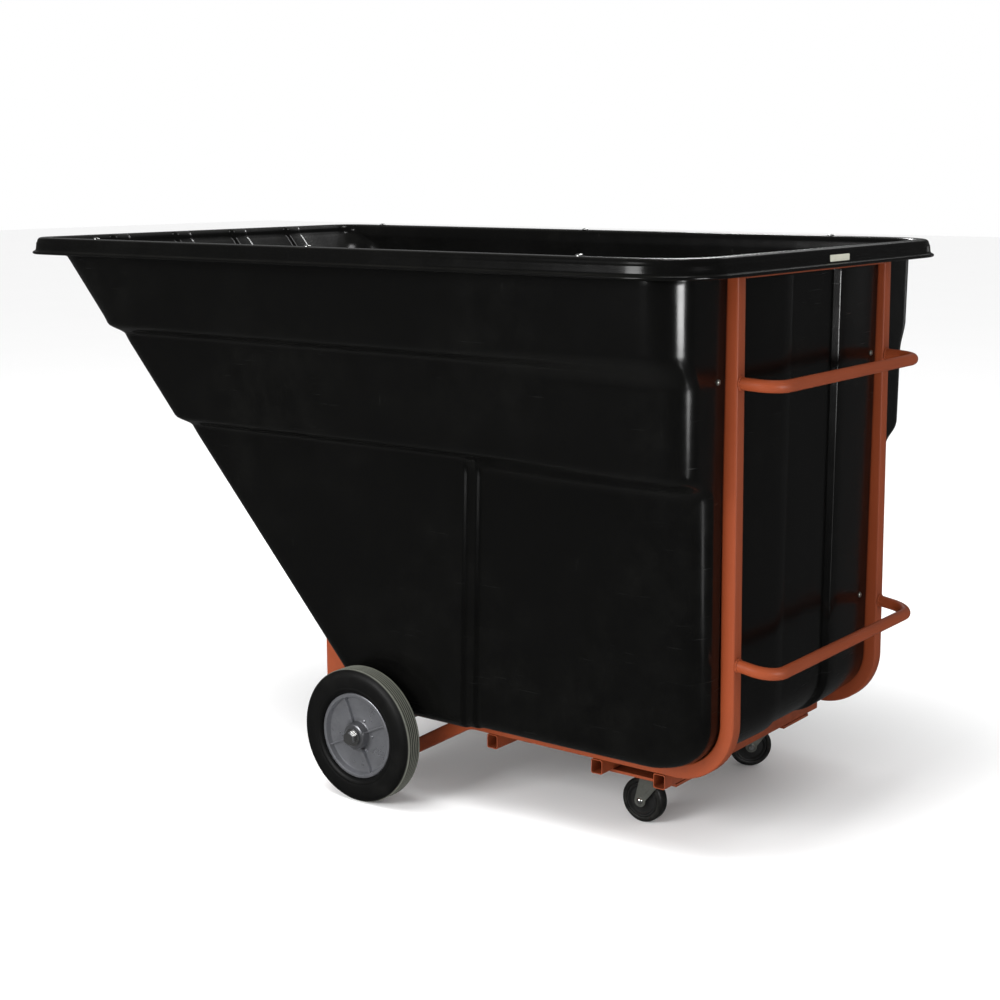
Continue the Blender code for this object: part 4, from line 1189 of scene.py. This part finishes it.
def build_caster_top(side):
    low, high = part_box("caster_plate_" + side)
    mid = (low + high) / 2
    bm = bmesh.new()
    plate(bm, rounded_rectangle(high.x - low.x, high.y - low.y, 0.0085, 6), high.z - PLATE_LOW,
          Matrix.Translation((mid.x, mid.y, (PLATE_LOW + high.z) / 2)))
    lathe(bm, [(0.0085, 0.1150), (0.0226, 0.1150), (0.0240, 0.1142), (0.0246, 0.1120),
               (0.0240, 0.1098), (0.0222, 0.1082), (0.0205, 0.1078), (0.0085, 0.1078)], 56,
          Matrix.Translation((mid.x, mid.y, 0)))
    piece("caster_top_plate_" + side, bm, "zinc", "truck", ["caster_plate_" + side], 35)
    for i in (1, 2, 3, 4):
        node = "caster_bolt_%s_%d" % (side, i)
        b_low, b_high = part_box(node)
        at = (b_low + b_high) / 2
        head = b_low.z
        bm = bmesh.new()
        hexagon(bm, PLATE_BOLT_ACROSS, PLATE_BOLT_HEAD, Matrix.Translation((at.x, at.y, head))
                @ Matrix.Rotation(0.3 * i, 4, "Z"))
        solid_turn(bm, [(0, head + 0.0036), (PLATE_BOLT_R, head + 0.0036),
                        (PLATE_BOLT_R, b_high.z - 0.0006), (PLATE_BOLT_R - 0.0006, b_high.z),
                        (0, b_high.z)], 18,
                   Matrix.Translation((at.x, at.y, 0)))
        piece(node + "_hex", bm, "plated", "truck", [node], 30)
    recolour("caster_kingpin_" + side, "plated")
    recolour("caster_mount_" + side, "paint")


# ---------------------------------------------------------------- stage, light, camera

def build_floor():
    bm = bmesh.new()
    bmesh.ops.create_grid(bm, x_segments=8, y_segments=8, size=30)
    floor = from_bmesh("studio_floor", bm)
    floor.location.z = -0.0005
    floor.data.materials.append(floor_look())
    floor.visible_glossy = False


def area(name, place, target, size, power, size_y=None):
    data = bpy.data.lights.new(name, "AREA")
    data.energy = power
    data.shape = "RECTANGLE"
    data.size = size
    data.size_y = size_y or size
    light = new_object(name, data)
    light.visible_camera = False
    light.location = place
    light.rotation_euler = (Vector(target) - Vector(place)).to_track_quat("-Z", "Y").to_euler()
    return light


WORLD_LIGHT, WORLD_MIRRORED = 1.0, 0.075
# highlight panels beside the near rear corner: height, width, tall, power
STRIPS = (("strip_high", 1.00, 0.70, 0.34, 32), ("strip_middle", 0.66, 0.40, 0.22, 3.2),
          ("strip_low", 0.18, 0.26, 0.44, 1.5))
STRIP_BEARING, STRIP_AWAY = math.radians(92.3), 2.0
# panels seen only as reflections: place, target, width, power, height
MIRRORED = (
    ("panel_rim", (-3.2, 3.4, 3.6), (0.0, -0.3, 1.2), 6.0, 14, 4.2),
    ("panel_rear_rim", (0.10, 3.34, 2.92), (0.89, -0.20, 1.23), 1.0, 3, 1.0),
    ("panel_nose", (-0.35, 2.65, 3.55), (-0.865, 0.15, 1.15), 2.0, 3, 2.0),
    ("strip_ribs_high", (0.395, 0.745, 4.03), (-0.865, 0.15, 1.15), 0.9, 25, 0.9),
    ("strip_ribs_back", (-1.30, 3.33, 2.78), (-0.865, 0.15, 1.15), 0.7, 18, 0.7),
    ("strip_groove", (AXLE_X + 1.135, 2.37, 1.10), (AXLE_X + 0.83, -0.1, 1.10), 0.2, 0.35, 0.6),
)


def build_lights():
    world = bpy.data.worlds.new("studio")
    bpy.context.scene.world = world
    world.use_nodes = True
    tree = world.node_tree
    back = tree.nodes["Background"]
    path = tree.nodes.new("ShaderNodeLightPath").outputs
    level = tree.nodes.new("ShaderNodeMapRange")
    level.inputs["To Min"].default_value = WORLD_LIGHT
    level.inputs["To Max"].default_value = WORLD_MIRRORED
    tree.links.new(path["Is Glossy Ray"], level.inputs["Value"])
    tree.links.new(level.outputs["Result"], back.inputs["Strength"])
    back.inputs["Color"].default_value = (1, 1, 1, 1)
    top = area("softbox_top", (-0.4, -1.0, 4.4), (0.0, -0.3, 0.6), 3.0, 190)
    top.visible_glossy = False
    area("key_side", (-0.6, -5.2, 2.6), (0.1, -0.4, 0.6), 2.2, 200)
    low = area("fill_low", (0.9, -3.8, 0.45), (0.1, -0.3, 0.5), 1.6, 45, size_y=0.6)
    low.visible_glossy = False
    corner = Vector((AXLE_X + 0.79, -0.52, 0))
    away = Vector((math.sin(STRIP_BEARING), -math.cos(STRIP_BEARING), 0))
    spot = corner + away * STRIP_AWAY
    for name, height, width, tall, power in STRIPS:
        strip = area(name, spot + Vector((0, 0, height)), corner + Vector((0, 0, height)),
                     width, power, size_y=tall)
        strip.visible_diffuse = False
    for name, place, target, width, power, tall in MIRRORED:
        area(name, place, target, width, power, size_y=tall).visible_diffuse = False


CAMERA_AT = (AXLE_X + 2.4945, -3.3106, 1.4026)
CAMERA_TURN, CAMERA_PITCH, CAMERA_ROLL = 36.859, 10.858, -0.141    # degrees
CAMERA_LENS = 62.867


def build_camera():
    data = bpy.data.cameras.new("camera")
    data.sensor_width = 36.0
    data.lens = CAMERA_LENS
    camera = new_object("camera", data)
    turn, pitch, roll = (math.radians(v) for v in (CAMERA_TURN, CAMERA_PITCH, CAMERA_ROLL))
    back = Vector((math.sin(turn) * math.cos(pitch), -math.cos(turn) * math.cos(pitch),
                   math.sin(pitch)))
    right = Vector((math.cos(turn), math.sin(turn), 0))
    up = back.cross(right)
    level_right = right * math.cos(roll) + up * math.sin(roll)
    level_up = -right * math.sin(roll) + up * math.cos(roll)
    camera.matrix_world = Matrix((
        (level_right.x, level_up.x, back.x, CAMERA_AT[0]),
        (level_right.y, level_up.y, back.y, CAMERA_AT[1]),
        (level_right.z, level_up.z, back.z, CAMERA_AT[2]),
        (0, 0, 0, 1)))
    data.clip_end = 200
    bpy.context.scene.camera = camera


build_hopper()
build_side_frames()
build_cross_tubes()
build_handles()
build_welds()
build_plates()
build_rim_bolts()
build_rear_bolts()
build_label()
build_main_wheels()
build_axle()
for caster_side, caster_sign in SIDES.items():
    build_caster(caster_side, caster_sign)
build_floor()
build_lights()
build_camera()
bpy.context.scene.view_settings.view_transform = "Standard"
